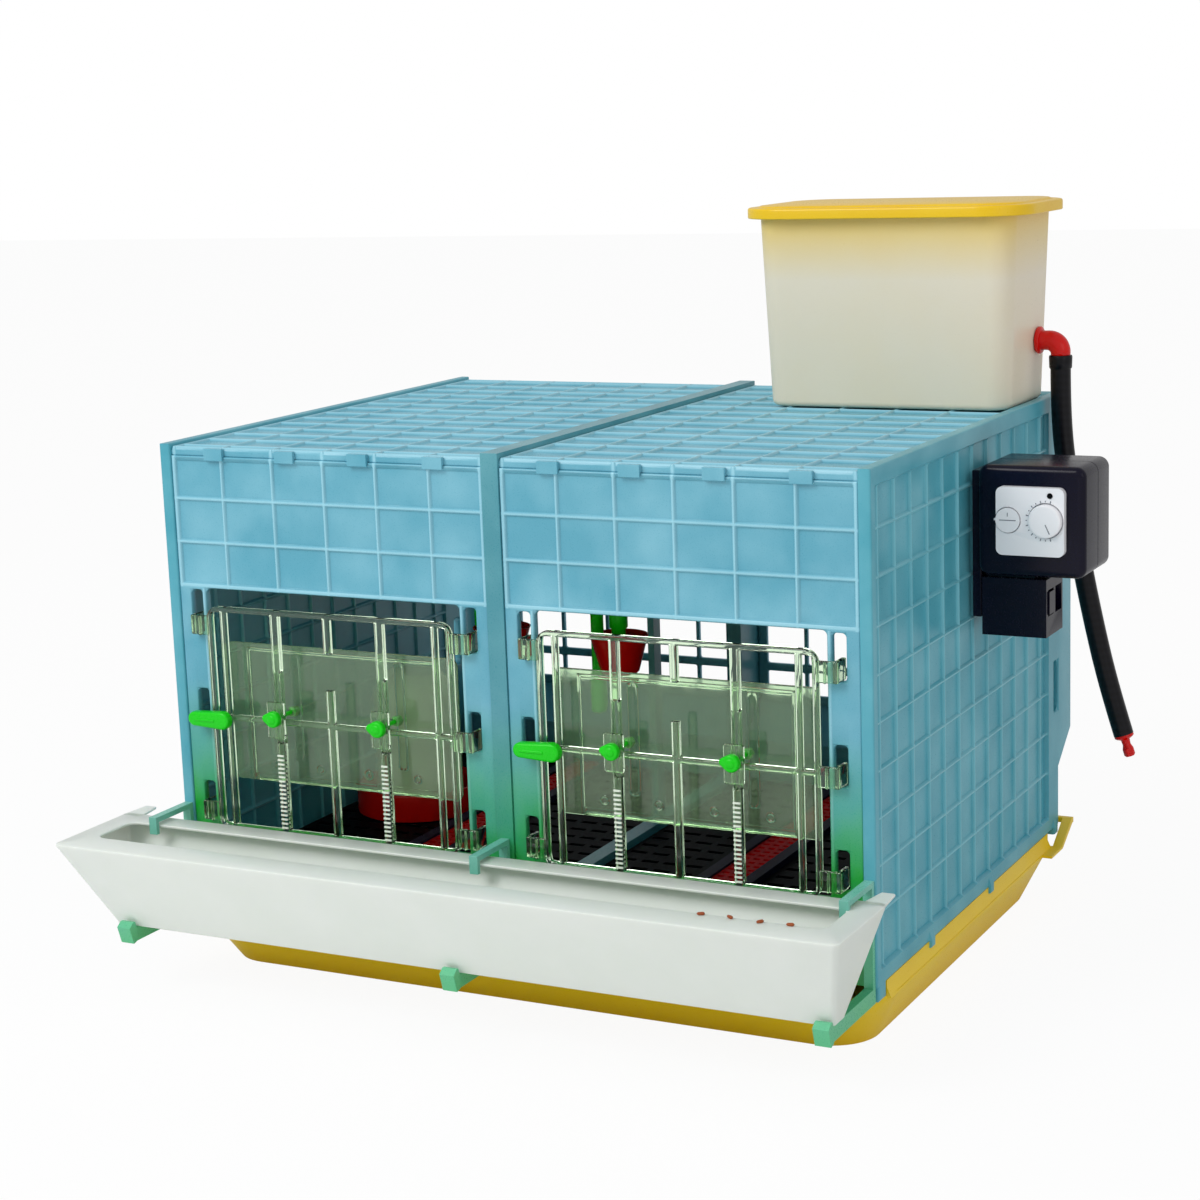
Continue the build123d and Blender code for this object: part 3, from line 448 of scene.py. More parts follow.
def rising(start: float, radius: float, steps: int = 4) -> Steps:
    """Level and inset round a quarter circle, from an edge's foot at a start level up to its crown.

    Args:
        start: Level of the side, where the inset is nothing.
        radius: Radius of the edge, towards higher levels.
        steps: Number of steps.

    Returns:
        The levels and insets, from the foot.
    """
    angles = np.linspace(0, math.pi / 2, steps + 1)
    return [(start + radius * math.sin(angle), radius * (1 - math.cos(angle))) for angle in angles]


def block(
    plane: Plane, across: Span, up: Span, depth: Span, corner: float, edge: float, count: int = 48
) -> Shell:
    """Solid block with rounded corners and rounded edges.

    Args:
        plane: Axes of its outline.
        across: First interval.
        up: Second interval.
        depth: Interval along its depth.
        corner: Radius of its outline's corners.
        edge: Radius of its edges.
        count: Number of points round it.

    Returns:
        The block.
    """
    steps = falling(depth[0] + edge, edge) + rising(depth[1] - edge, edge)
    return lofted(plane, stack((across, up), corner, steps), count)


def turned(profile: Steps, centre: Span, plane: Plane = Plane.FLAT) -> Shell:
    """Surface of a profile of radius and level, carried round a centre.

    Args:
        profile: Radius and level of each loop.
        centre: First two coordinates of the axis.
        plane: Axes that the loops lie in.

    Returns:
        The surface.
    """
    return lofted(plane, [Loop(((*centre, max(radius, 0.05)),), level) for radius, level in profile], 64)


def swept(path: Array, radius: Array, count: int) -> Shell:
    """Round tube along a path in the XZ plane: circles square to its run, of a radius for each point.

    Args:
        path: X, Y and Z of each point.
        radius: Radius at each point.
        count: Points round the tube.

    Returns:
        The tube, flat at both ends.
    """
    run = np.gradient(path, axis=0)
    run /= np.linalg.norm(run, axis=1, keepdims=True)
    level = np.array([0.0, 1.0, 0.0])
    out = np.cross(run, level)
    angle = np.linspace(0, 2 * np.pi, count, endpoint=False)
    ring = out[:, None] * np.cos(angle)[:, None] + level * np.sin(angle)[:, None]
    points = (path[:, None] + radius[:, None, None] * ring).reshape(-1, 3)
    return Shell(points, lattice(len(path), count), end_caps(len(path), count))


def linear(colour: str) -> tuple[float, float, float, float]:
    """Linear colour of an sRGB hex value.

    Args:
        colour: The hex value.

    Returns:
        Red, green, blue and alpha.
    """
    values = np.array([int(colour[i : i + 2], 16) for i in (1, 3, 5)]) / 255
    made = np.where(values <= 0.04045, values / 12.92, ((values + 0.055) / 1.055) ** 2.4)
    return (*(float(value) for value in made), 1.0)


def add_node(tree: Tree, kind: str, settings: dict | None = None, links: dict | None = None) -> Node:
    """Adds a node with its settings, and links or values for its sockets.

    Args:
        tree: The node tree.
        kind: Blender's name for the node.
        settings: Attributes of the node.
        links: For each input, an output socket or a value.

    Returns:
        The node.
    """
    node = tree.nodes.new(kind)
    for name, value in (settings or {}).items():
        setattr(node, name, value)
    for name, value in (links or {}).items():
        if isinstance(value, Socket):
            tree.links.new(value, node.inputs[name])
        else:
            node.inputs[name].default_value = value
    return node


def emptied(owner: bpy.types.Material | bpy.types.World) -> Tree:
    """The owner's node tree, switched on and empty.

    Args:
        owner: A material or a world.

    Returns:
        The tree.
    """
    owner.use_nodes = True
    owner.node_tree.nodes.clear()
    return owner.node_tree


class Finish:
    """A finish that makes its node material once, from the surface that each kind of finish describes."""

    name: str
    made: dict[str, bpy.types.Material] = {}

    def material(self) -> bpy.types.Material:
        """The finish's material.

        Returns:
            The material, the same one each time.
        """
        if self.name not in self.made:
            material = bpy.data.materials.new(self.name)
            tree = emptied(material)
            place = add_node(tree, "ShaderNodeTexCoord").outputs["Object"]
            shader = add_node(tree, "ShaderNodeBsdfPrincipled", {}, self.surface(tree, place))
            add_node(tree, "ShaderNodeOutputMaterial", {}, {"Surface": shader.outputs[0]})
            self.made[self.name] = material
        return self.made[self.name]

    def surface(self, tree: Tree, place: Socket) -> dict:
        """Links and values for the shader's sockets."""
        raise NotImplementedError


@dataclass(frozen=True)
class PaintedLight:
    """Colour laid on the plastic low down, between two heights, and in front of a limit in Y, to paint light:
    a green reflection on the cage and its brackets, and on the tank the cream that leaves a painted yellow
    glow under the lid.
    """

    colour: str
    full_below: float
    none_above: float
    strength: float = 1.0
    evenness: float = 0.62
    rear_limit: float = 1000.0
    fade: float = 40.0

    def over(self, tree: Tree, place: Socket, flow: Socket, colour: Socket) -> Socket:
        """The colour with the painted light laid over it, deeper towards the bottom and uneven as the flow
        is.

        Args:
            tree: The node tree.
            place: Object coordinates.
            flow: The slow noise.
            colour: The colour so far.

        Returns:
            The stained colour.
        """
        parts = add_node(tree, "ShaderNodeSeparateXYZ", {}, {0: place}).outputs
        reach = {1: self.none_above * MM, 2: self.full_below * MM, 3: 0.0, 4: self.strength}
        share = add_node(tree, "ShaderNodeMapRange", {}, {"Value": parts[2], **reach}).outputs[0]
        limits = {1: self.rear_limit * MM, 2: (self.rear_limit + self.fade) * MM, 3: 1.0, 4: 0.0}
        ahead = add_node(tree, "ShaderNodeMapRange", {}, {"Value": parts[1], **limits}).outputs[0]
        patches = {1: 0.3, 2: 0.6, 3: self.evenness, 4: 1.0}
        uneven = add_node(tree, "ShaderNodeMapRange", {}, {"Value": flow, **patches}).outputs[0]
        for factor in (ahead, uneven):
            share = add_node(tree, "ShaderNodeMath", MULTIPLY, {0: share, 1: factor}).outputs[0]
        tinted = {0: share, 6: colour, 7: linear(self.colour)}
        return add_node(tree, "ShaderNodeMix", COLOURS, tinted).outputs[2]


@dataclass(frozen=True)
class Moulded(Finish):
    """Injection-moulded plastic: satin, with slow flow mottling, a painted highlight that makes its ribs
    paler, and a fine mould grain.

    Mottling and grain are sized in millimetres. Real mould grain is about a tenth of a millimetre, and it is
    drawn coarser so that it shows.
    """

    name: str
    colour: str
    # Paler colour: of the random flow mottling, and of the painted highlight on ribs
    pale: str
    roughness: float = 0.36
    mottle: float = 70.0
    grain: float = 1.4
    grain_depth: float = 0.04
    milkiness: float = 0.0
    ior: float = 1.49
    rib_highlight_share: float = 0.75
    gloss: float = 0.5
    painted_light: PaintedLight | None = None

    def surface(self, tree: Tree, place: Socket) -> dict:
        """Mottling and a painted highlight on ribs in the colour, grain in the roughness and the bump.

        Args:
            tree: The node tree.
            place: Object coordinates.

        Returns:
            Links and values for the shader's sockets.
        """
        slow = {"Vector": place, "Scale": 1 / (self.mottle * MM), "Detail": 3.0}
        flow = add_node(tree, "ShaderNodeTexNoise", {}, slow).outputs[0]
        fine = {"Vector": place, "Scale": 1 / (self.grain * MM), "Detail": 2.0}
        grain = add_node(tree, "ShaderNodeTexNoise", {}, fine).outputs[0]
        soft = add_node(tree, "ShaderNodeMapRange", {}, {"Value": flow, 1: 0.35, 2: 0.75, 3: 0.0, 4: 0.4})
        # Painted highlight: the rib attribute mixes in the pale colour, so that ribs look lit
        rib = add_node(tree, "ShaderNodeAttribute", {"attribute_name": "rib"}).outputs["Fac"]
        rib = add_node(tree, "ShaderNodeMath", MULTIPLY, {0: rib, 1: self.rib_highlight_share})
        colour = linear(self.colour)
        for share in (soft.outputs[0], rib.outputs[0]):
            mixed = {0: share, 6: colour, 7: linear(self.pale)}
            colour = add_node(tree, "ShaderNodeMix", COLOURS, mixed).outputs[2]
        # Painted light low down: a green reflection, or the cream below the tank's painted yellow glow
        if self.painted_light:
            colour = self.painted_light.over(tree, place, flow, colour)
        spread = {1: 0.3, 2: 0.7, 3: self.roughness - 0.05, 4: self.roughness + 0.07}
        rough = add_node(tree, "ShaderNodeMapRange", {}, {"Value": grain, **spread})
        bump = {"Height": grain, "Strength": 0.35, "Distance": self.grain_depth * MM}
        return {
            "Base Color": colour,
            "Roughness": rough.outputs[0],
            "Normal": add_node(tree, "ShaderNodeBump", {}, bump).outputs[0],
            "IOR": self.ior,
            "Specular IOR Level": self.gloss,
            "Subsurface Weight": self.milkiness,
            "Subsurface Radius": (12 * MM, 12 * MM, 10 * MM),
            "Subsurface Scale": 1.0,
        }


@dataclass(frozen=True)
class ClearPolycarbonate(Finish):
    """Clear moulded polycarbonate: sharp reflections, a faint green cast, and slight mould ripples."""

    name: str
    colour: str
    roughness: float = 0.04
    ripple: float = 14.0
    haze: float = 0.0

    def surface(self, tree: Tree, place: Socket) -> dict:
        """Light goes through it, and slow ripples bend its reflections.

        Args:
            tree: The node tree.
            place: Object coordinates.

        Returns:
            Links and values for the shader's sockets.
        """
        slow = {"Vector": place, "Scale": 1 / (self.ripple * MM)}
        ripple = add_node(tree, "ShaderNodeTexNoise", {}, slow).outputs[0]
        spread = {1: 0.3, 2: 0.7, 3: self.roughness * 0.5, 4: self.roughness * 1.5}
        rough = add_node(tree, "ShaderNodeMapRange", {}, {"Value": ripple, **spread})
        bump = {"Height": ripple, "Strength": 0.25, "Distance": 0.3 * MM}
        return {
            "Base Color": linear(self.colour),
            "Roughness": rough.outputs[0],
            "Normal": add_node(tree, "ShaderNodeBump", {}, bump).outputs[0],
            "IOR": 1.5,
            "Transmission Weight": 1.0 - self.haze,
        }


@dataclass(frozen=True)
class RibbedHose(Finish):
    """Extruded rubber: half glossy, with faint rings left by its mandrel, a little paler on their crowns."""

    name: str
    colour: str
    crown: str
    ring: float = 9.0

    def surface(self, tree: Tree, place: Socket) -> dict:
        """Rings by height in the bump and the colour. A wave texture repeats about every third of a unit.

        Args:
            tree: The node tree.
            place: Object coordinates.

        Returns:
            Links and values for the shader's sockets.
        """
        setting = {"wave_type": "BANDS", "bands_direction": "Z"}
        wave = {"Vector": place, "Scale": 1 / (self.ring * MM) / 3, "Distortion": 0.4, "Detail": 1.0}
        rings = add_node(tree, "ShaderNodeTexWave", setting, wave).outputs["Fac"]
        mixed = {0: rings, 6: linear(self.colour), 7: linear(self.crown)}
        bump = {"Height": rings, "Strength": 0.1, "Distance": 0.5 * MM}
        return {
            "Base Color": add_node(tree, "ShaderNodeMix", COLOURS, mixed).outputs[2],
            "Roughness": 0.3,
            "Specular IOR Level": 0.25,
            "Normal": add_node(tree, "ShaderNodeBump", {}, bump).outputs[0],
        }


@dataclass(frozen=True)
class PlatedSteel(Finish):
    """Zinc-plated steel: bright metal whose fine spangle changes its gloss."""

    name: str
    colour: str
    spangle: float = 1.2

    def surface(self, tree: Tree, place: Socket) -> dict:
        """Cells of slightly different gloss.

        Args:
            tree: The node tree.
            place: Object coordinates.

        Returns:
            Links and values for the shader's sockets.
        """
        cell = {"Vector": place, "Scale": 1 / (self.spangle * MM)}
        cells = add_node(tree, "ShaderNodeTexVoronoi", {}, cell).outputs["Distance"]
        spread = {1: 0.0, 2: 0.8, 3: 0.25, 4: 0.45}
        rough = add_node(tree, "ShaderNodeMapRange", {}, {"Value": cells, **spread})
        return {"Base Color": linear(self.colour), "Metallic": 1.0, "Roughness": rough.outputs[0]}


# Cage plastic: satin blue with a painted highlight where its ribs catch the light, and a painted green
# reflection low on the front
PAINTED_GREEN_REFLECTION = PaintedLight("#12A52A", 185.0, 330.0)
# Painted green reflection low on the middle frame's posts, in front of its limit in Y
PAINTED_POST_REFLECTION = PaintedLight("#12A52A", 150.0, 320.0, rear_limit=-310.0)
CAGE = Moulded("blue_polypropylene", "#5AA6BC", "#A2DAEA", 0.3)
WALL = Moulded("deep_blue_polypropylene", "#45A0B3", "#84CBD8", 0.32, rib_highlight_share=0.6)
CAGE_WITH_PAINTED_REFLECTION = Moulded("blue_polypropylene_green_below", "#5AA6BC", "#A2DAEA", 0.3, painted_light=PAINTED_GREEN_REFLECTION)
FRAME = Moulded("teal_polypropylene_green_below", "#4792A0", "#7FBFC8", 0.3, painted_light=PAINTED_POST_REFLECTION)
BEAM = Moulded("dark_teal_polypropylene", "#124B5A", "#1E6577", 0.4, gloss=0.3)
# Brackets: paler than the cage, and greener towards the claws, where a painted green reflection is laid
PAINTED_CLAW_REFLECTION = PaintedLight("#22B83C", 60.0, 210.0, 0.6)
BRACKET = Moulded("pale_teal_polypropylene", "#6FBCB2", "#A9E2D6", 0.3, painted_light=PAINTED_CLAW_REFLECTION)
# Tray and lid: strong yellows with a soft sheen
TRAY = Moulded("yellow_polypropylene", "#F4CC00", "#F9DA14", 0.32)
LID = Moulded("golden_polypropylene", "#F2C400", "#F8D620", 0.3)
# Tank: milky cream, with a painted yellow glow under the lid: its base colour is that yellow, and cream is
# laid over it lower down
CREAM_BELOW_PAINTED_GLOW = PaintedLight("#F3E7CE", 735.0, 812.0, 1.0, 0.95)
TANK = Moulded("cream_polyethylene", "#F4CD5A", "#F6D878", 0.32, milkiness=0.3, painted_light=CREAM_BELOW_PAINTED_GLOW)
# Trough: greyish white that light sinks into a little
TROUGH = Moulded("milky_polypropylene", "#E4EBE2", "#F0F4EE", 0.34, milkiness=0.4)
# Doors: clear with bright edges; the pane is a little hazy
CLEAR = ClearPolycarbonate("clear_polycarbonate", "#E2FADB")
PANE = ClearPolycarbonate("hazy_polycarbonate", "#D2F3C8", 0.06, haze=0.08)
SCALE = Moulded("white_scale_print", "#E9F4E4", "#FFFFFF", 0.3)
# Small fittings: saturated colours with clean highlights
GREEN = Moulded("green_polypropylene", "#06CE04", "#22E01E", 0.28, gloss=0.35)
RED = Moulded("red_polypropylene", "#DA0703", "#E81A10", 0.2, gloss=0.35)
ORANGE = Moulded("orange_polypropylene", "#E3A012", "#F2B92E", 0.32)
RUBBER = RibbedHose("black_rubber", "#050409", "#0C0B12")
# Thermostat: blue-black and smooth, with a matt white plate and grey print
BOX = Moulded("blue_black_abs", "#050318", "#0B0826", 0.22, gloss=0.22, grain_depth=0.01)
FACE = Moulded("white_abs", "#F3F3F7", "#FBFBFD", 0.4)
MARK = Moulded("grey_print", "#7A7E86", "#8C9098", 0.5)
# Floor: dull black mats, a red strip and dark rails
MAT = Moulded("black_mat_polypropylene", "#04080A", "#0B1216", 0.55, gloss=0.06)
STRIP = Moulded("red_slotted_strip", "#D00408", "#E51A12", 0.5, gloss=0.1)
RAIL = Moulded("grey_purple_rail", "#1E1B32", "#2C2844", 0.5, gloss=0.12)
# Heater, jar and feed: stoved enamel, bright plating, milky white, and a dry crumbly brown
ENAMEL = Moulded("dark_stove_enamel", "#1C1D1F", "#2A2B2E", 0.3)
STEEL = PlatedSteel("zinc_plated_steel", "#B9BDC0")
JAR = Moulded("white_polyethylene", "#DAD6CE", "#EDEAE4", 0.36, milkiness=0.3)
FEED = Moulded("pressed_feed", "#9A4A22", "#B8672F", 0.7, grain=0.6, grain_depth=0.2)


def add_piece(name: str, shell: Shell, finish: Finish, body: str, node: str = "") -> Object:
    """Args:
        name: The piece's name.
        shell: Its surface, in millimetres.
        finish: Its finish.
        body: The body that it rides on.
        node: The node that it stands for.

    Returns:
        The object.
    """
    mesh = bpy.data.meshes.new(name)
    mesh.from_pydata((shell.points * MM).tolist(), [], shell.quads.tolist() + shell.caps)
    # The rib share goes to the finish, which paints a highlight on ribs with it
    if shell.rib is not None:
        mesh.attributes.new("rib", "FLOAT", "POINT").data.foreach_set("value", shell.rib.astype(np.float32))
    work = bmesh.new()
    work.from_mesh(mesh)
    bmesh.ops.recalc_face_normals(work, faces=work.faces)
    work.to_mesh(mesh)
    work.free()
    mesh.shade_smooth()
    mesh.set_sharp_from_angle(angle=math.radians(CREASE))
    mesh.materials.append(finish.material())
    return declared(bpy.data.objects.new(name, mesh), body, node)


def declared(piece: Object, body: str, node: str) -> Object:
    """Links a piece to the scene, hangs it on the body that it rides on and logs that, and hides the node
    that it stands for.

    Args:
        piece: The piece.
        body: The body that it rides on.
        node: The node that it stands for, if there is one.

    Returns:
        The piece.
    """
    bpy.context.scene.collection.objects.link(piece)
    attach(piece, body)
    if node:
        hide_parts(node)
    LOG.info("%s rides on %s", piece.name, body)
    return piece


def softened(node: str, finish: Finish, body: str, edge: float) -> None:
    """Makes a node's form with its edges rounded over, from a merged copy of its mesh.

    Args:
        node: The node that it stands for.
        finish: Its finish.
        body: The body that it rides on.
        edge: Radius of its edges.
    """
    mesh = bpy.data.objects[node].data.copy()
    mesh.name = f"{node}_soft"
    work = bmesh.new()
    work.from_mesh(mesh)
    bmesh.ops.remove_doubles(work, verts=work.verts, dist=0.01 * MM)
    bmesh.ops.dissolve_limit(work, angle_limit=math.radians(1), verts=work.verts, edges=work.edges)
    work.to_mesh(mesh)
    work.free()
    mesh.materials.clear()
    mesh.materials.append(finish.material())
    mesh.shade_smooth()
    mesh.set_sharp_from_angle(angle=math.radians(SOFT_CREASE))
    piece = declared(bpy.data.objects.new(mesh.name, mesh), body, node)
    bevel = piece.modifiers.new("edges", "BEVEL")
    bevel.width = edge * MM
    bevel.segments = 2
    bevel.limit_method = "ANGLE"
    bevel.angle_limit = math.radians(BEVEL_ANGLE)
    bevel.use_clamp_overlap = True
    bevel.harden_normals = True


def dress(finish: Finish, *nodes: str) -> None:
    """Gives nodes their finish and leaves their form alone.

    Args:
        finish: The finish.
        nodes: The nodes.
    """
    for node in nodes:
        slots = bpy.data.objects[node].data.materials
        slots.clear()
        slots.append(finish.material())
        LOG.info("%s is dressed", node)


@dataclass
class Cage:
    """The moulded cage: side walls, front, back and roof panels, and the frame between the compartments."""

    half_width: float = 414.5
    wall: float = 13.5
    depth: Span = (-328.0, 328.0)
    base: float = 76.0
    ridge_z: float = 593.0
    foot_rear: float = 278.0
    slant: Span = (148.0, 186.0)
    slant_fade: float = 220.0
    field_rear: float = 238.0
    field_step: float = 1.8
    tabs: Place = (-171.0, 22.0, 262.0)
    hand_slot: Rect = Rect((259.0, 277.0), (217.0, 279.0), 8.9)
    row_top: float = 532.8
    cell: float = 48.0
    wall_rib_first: float = -304.8
    wall_rib_step: float = 47.13
    column_step: float = 65.32
    panel_x: float = 205.5
    panel_half: float = 195.5
    panel_top: float = 580.0
    opening_half: float = 161.0
    opening: Span = (163.0, 433.6)
    slot_x: float = 173.5
    slot_half: float = 7.5
    slot_spans: tuple[Span, ...] = ((383.5, 431.7), (278.0, 320.0), (172.0, 213.4))
    rib_half: float = 3.0
    rib_rise: float = 3.0
    window_bars: Span = (232.0, 331.0)
    window_bar_halves: Span = (2.5, 5.0)

    def rib_lines(self, centres: Array) -> Array:
        """Grid lines that carry a rib's rounded section, for each rib."""
        return (centres[:, None] + self.rib_half * RIB_STEPS).ravel()

    def rows(self, count: int) -> Array:
        """Heights of the level ribs."""
        return self.row_top - self.cell * np.arange(count)

    def wall_ribs(self, count: int) -> Array:
        """Y of the upright ribs of a wall, which the roof's cross ribs carry on."""
        return self.wall_rib_first + self.wall_rib_step * np.arange(count)

    def columns(self, middle: float) -> Array:
        """X of a panel's upright ribs, the outer two inside its edges."""
        columns = middle + self.column_step * np.arange(-3, 4)
        return np.clip(columns, middle - self.panel_half + 3, middle + self.panel_half - 3)

    def ends(self, side: int) -> Span:
        """X of a panel's two edges."""
        return side * self.panel_x - self.panel_half, side * self.panel_x + self.panel_half

    def field_share(self, place: Array, low: float, high: float) -> Array:
        """Share, 0 to 1, of a sunk field between two lines, with a soft step at each."""
        return smooth_step((place - low) / self.field_step) * smooth_step((high - place) / self.field_step)

    def ribs(self, across: Array, up: Array, columns: Array, rows: Array) -> Array:
        """Height, 0 to 1, of a grid of ribs: the higher of the two ridges at each place."""
        return np.maximum(ridge(across, columns, self.rib_half), ridge(up, rows, self.rib_half))

    def step_lines(self, edges: Span) -> Array:
        """Grid lines that carry the soft step at each edge of a field."""
        return (np.array(edges)[:, None] + self.field_step * np.array([-1, -0.5, 0.5, 1])).ravel()

    def side_wall(self, word: str, side: int) -> None:
        """Side wall: sunk field with ribs on both faces, a slanted rear foot and a hand slot.

        Args:
            word: The side's name.
            side: Its sign in X.
        """
        front, rear = self.depth
        field_y, field_z = (front + 12, self.field_rear), (self.base + 17, self.ridge_z - 18)
        rib_y, rib_z = self.wall_ribs(12), self.rows(9)

        def relief(y: Array, z: Array) -> Relief:
            """Field sunk 5 outside and 3.5 inside, less its ribs, with tabs standing 2.5 proud.

            Args:
                y: Across.
                z: Up.

            Returns:
                Relief outside, relief inside, and the share of a rib.
            """
            sunk = self.field_share(y, *field_y) * self.field_share(z, *field_z)
            rib = self.ribs(y, z, rib_y, rib_z) * sunk
            outer = -side * (5.0 * sunk - self.rib_rise * rib)
            for tab in self.tabs:
                tab_share = smooth_step((7 - np.abs(y - tab)) / 2) * smooth_step((85 - z) / 2)
                outer = outer + side * 2.5 * tab_share
            return outer, side * (3.5 * sunk - self.rib_rise * rib), rib

        def warp(y: Array, z: Array) -> tuple[Array, Array]:
            """Lower rear edge raised in proportion to its distance behind the foot, fading upwards.

            Args:
                y: Across.
                z: Up.

            Returns:
                The moved coordinates.
            """
            back = np.clip((y - self.foot_rear) / (rear - self.foot_rear), 0, 1)
            fade = np.clip((self.slant_fade - z) / (self.slant_fade - self.slant[0]), 0, 1)
            return y, z + back * fade * (self.slant[1] - self.slant[0])

        solids = [
            Rect((front, self.foot_rear), (self.base, self.ridge_z)),
            Rect((self.foot_rear - 30, rear), (self.slant[0], self.ridge_z)),
            Rect((front + 4, front + 24), (60.5, self.base + 20)),
        ]
        solids += [Rect((tab - 6, tab + 6), (69.0, self.base + 12)) for tab in self.tabs]
        slant_rows = np.arange(150.0, self.slant_fade, 8.0)
        plate = Plate(
            Plane.SIDE,
            solids,
            side * self.half_width,
            side * (self.half_width - self.wall),
            [self.hand_slot],
            rounding=2.0,
            across_lines=np.concatenate([self.rib_lines(rib_y), self.step_lines(field_y)]),
            up_lines=np.concatenate([self.rib_lines(rib_z), self.step_lines(field_z), slant_rows]),
            relief=relief,
            warp=warp,
        )
        add_piece(f"{word}_wall", plate.shell(), WALL, "cage", f"side_wall_{word}")

    def front_panel(self, word: str, side: int) -> None:
        """Front panel: ribbed field above the door's opening, and hook slots in its side strips.

        Args:
            word: The side's name.
            side: Its sign in X.
        """
        middle, ends = side * self.panel_x, self.ends(side)
        columns, rows = self.columns(middle), self.rows(3)
        low, high = self.opening[1] + 4, self.panel_top - 4

        def relief(x: Array, z: Array) -> Relief:
            """Field sunk between its ribs, with a small lip beside the opening.

            Args:
                x: Across.
                z: Up.

            Returns:
                Relief in front, relief behind, and the share of the painted highlight on ribs and lip.
            """
            sunk = self.field_share(x, ends[0] + 2, ends[1] - 2) * self.field_share(z, low, high)
            rib = self.ribs(x, z, columns, rows)
            below = z < self.opening[1]
            lip = ridge(np.abs(x - middle), np.array([self.opening_half + 2.5]), 2.5) * below
            # Painted highlight: ribs above the opening and the lip beside it take the paler colour
            painted_highlight = np.maximum(rib * (z > self.opening[1]), 0.8 * lip)
            return self.rib_rise * sunk * (1 - rib) - 0.8 * lip, np.zeros_like(x), painted_highlight

        holes = [Rect((middle - self.opening_half, middle + self.opening_half), self.opening, 6.0)]
        for hand in (-1, 1):
            x = middle + hand * self.slot_x
            holes += [Rect((x - self.slot_half, x + self.slot_half), slot, 5.0) for slot in self.slot_spans]
        lip_steps = (0.8, 1.6, 2.5, 3.4, 4.2)
        lip_lines = [middle + s * (self.opening_half + step) for s in (-1, 1) for step in lip_steps]
        plate = Plate(
            Plane.FRONT,
            [Rect(ends, (self.base, self.panel_top))],
            self.depth[0] + 2,
            self.depth[0] + 11,
            holes,
            across_lines=np.concatenate([self.rib_lines(columns), lip_lines]),
            up_lines=np.concatenate([self.rib_lines(rows), [low + 0.9, low + 1.8, high - 1.8, high - 0.9]]),
            relief=relief,
        )
        panel = plate.shell()
        add_piece(f"{word}_front_panel", panel, CAGE_WITH_PAINTED_REFLECTION, "cage", f"front_panel_{word}")

    def window_cells(self, side: int) -> list[Rect]:
        """Cells of a back panel's window, between its bars.

        Args:
            side: The panel's sign in X.

        Returns:
            The cells.
        """
        ends = self.ends(side)
        half_a, half_u = self.window_bar_halves
        xs = [ends[0] + 12, *(side * self.panel_x + self.column_step * np.arange(-2, 3)), ends[1] - 12]
        zs = [self.slant[1] + 12, *self.window_bars, self.opening[1]]
        cells = []
        for column, (x0, x1) in enumerate(zip(xs, xs[1:])):
            left, right = x0 + (half_a if column else 0), x1 - (half_a if column < len(xs) - 2 else 0)
            for row, (z0, z1) in enumerate(zip(zs, zs[1:])):
                low, high = z0 + (half_u if row else 0), z1 - (half_u if row < len(zs) - 2 else 0)
                cells.append(Rect((left, right), (low, high), 3.0))
        return cells

    def back_panel(self, word: str, side: int) -> None:
        """Back panel: ribbed field, a barred window, and a foot that slants in below it.

        Args:
            word: The side's name.
            side: Its sign in X.
        """
        ends, outer = self.ends(side), self.depth[1] - 2
        columns, rows = self.columns(side * self.panel_x), self.rows(3)
        slant_z = (self.slant[0], self.slant[1] + 1)

        def relief(x: Array, z: Array) -> Relief:
            """Field sunk between its ribs, and a foot moved forward in proportion to its depth below.

            Args:
                x: Across.
                z: Up.

            Returns:
                Relief behind, relief in front, and the share of a rib.
            """
            slant = np.interp(z, slant_z, (self.foot_rear - 1 - outer, 0.0))
            sunk = self.field_share(x, ends[0] + 12, ends[1] - 12)
            sunk = sunk * self.field_share(z, self.opening[1] + 4, self.panel_top - 4)
            rib = self.ribs(x, z, columns, rows) * sunk
            return slant - self.rib_rise * (sunk - rib), slant, rib

        plate = Plate(
            Plane.FRONT,
            [Rect(ends, (self.base, self.panel_top))],
            outer,
            outer - 6,
            self.window_cells(side),
            rounding=1.4,
            across_lines=self.rib_lines(columns),
            up_lines=np.concatenate([self.rib_lines(rows), np.linspace(*slant_z, 8)]),
            relief=relief,
        )
        add_piece(f"{word}_back_panel", plate.shell(), CAGE, "cage", f"back_panel_{word}")

    def roof_panel(self, word: str, side: int) -> None:
        """Roof panel: skin with rounded ribs in line with the front's columns and the wall's.

        Args:
            word: The side's name.
            side: Its sign in X.
        """
        depth = (self.depth[0] + 4, self.depth[1] - 4)
        columns = self.columns(side * self.panel_x)
        rows = np.concatenate([self.wall_ribs(14), [depth[0] + 3, depth[1] - 3]])

        def relief(x: Array, y: Array) -> Relief:
            """Skin sunk between the ribs.

            Args:
                x: Across.
                y: To the rear.

            Returns:
                Relief above, relief below, and the share of a rib.
            """
            rib = self.ribs(x, y, columns, rows)
            return -self.rib_rise * (1 - rib), np.zeros_like(x), rib

        plate = Plate(
            Plane.FLAT,
            [Rect(self.ends(side), depth)],
            self.panel_top + 10,
            self.panel_top,
            rounding=1.5,
            across_lines=self.rib_lines(columns),
            up_lines=self.rib_lines(rows),
            relief=relief,
        )
        add_piece(f"{word}_roof_panel", plate.shell(), CAGE, "cage", f"roof_panel_{word}")

    def build(self) -> None:
        """Makes both sides, and dresses what joins them."""
        for word, side in SIDES.items():
            self.side_wall(word, side)
            self.front_panel(word, side)
            self.back_panel(word, side)
            self.roof_panel(word, side)
        softened("middle_frame", FRAME, "cage", 1.2)
        softened("roof_clips", CAGE, "cage", 0.5)
        dress(BEAM, "floor_beams")


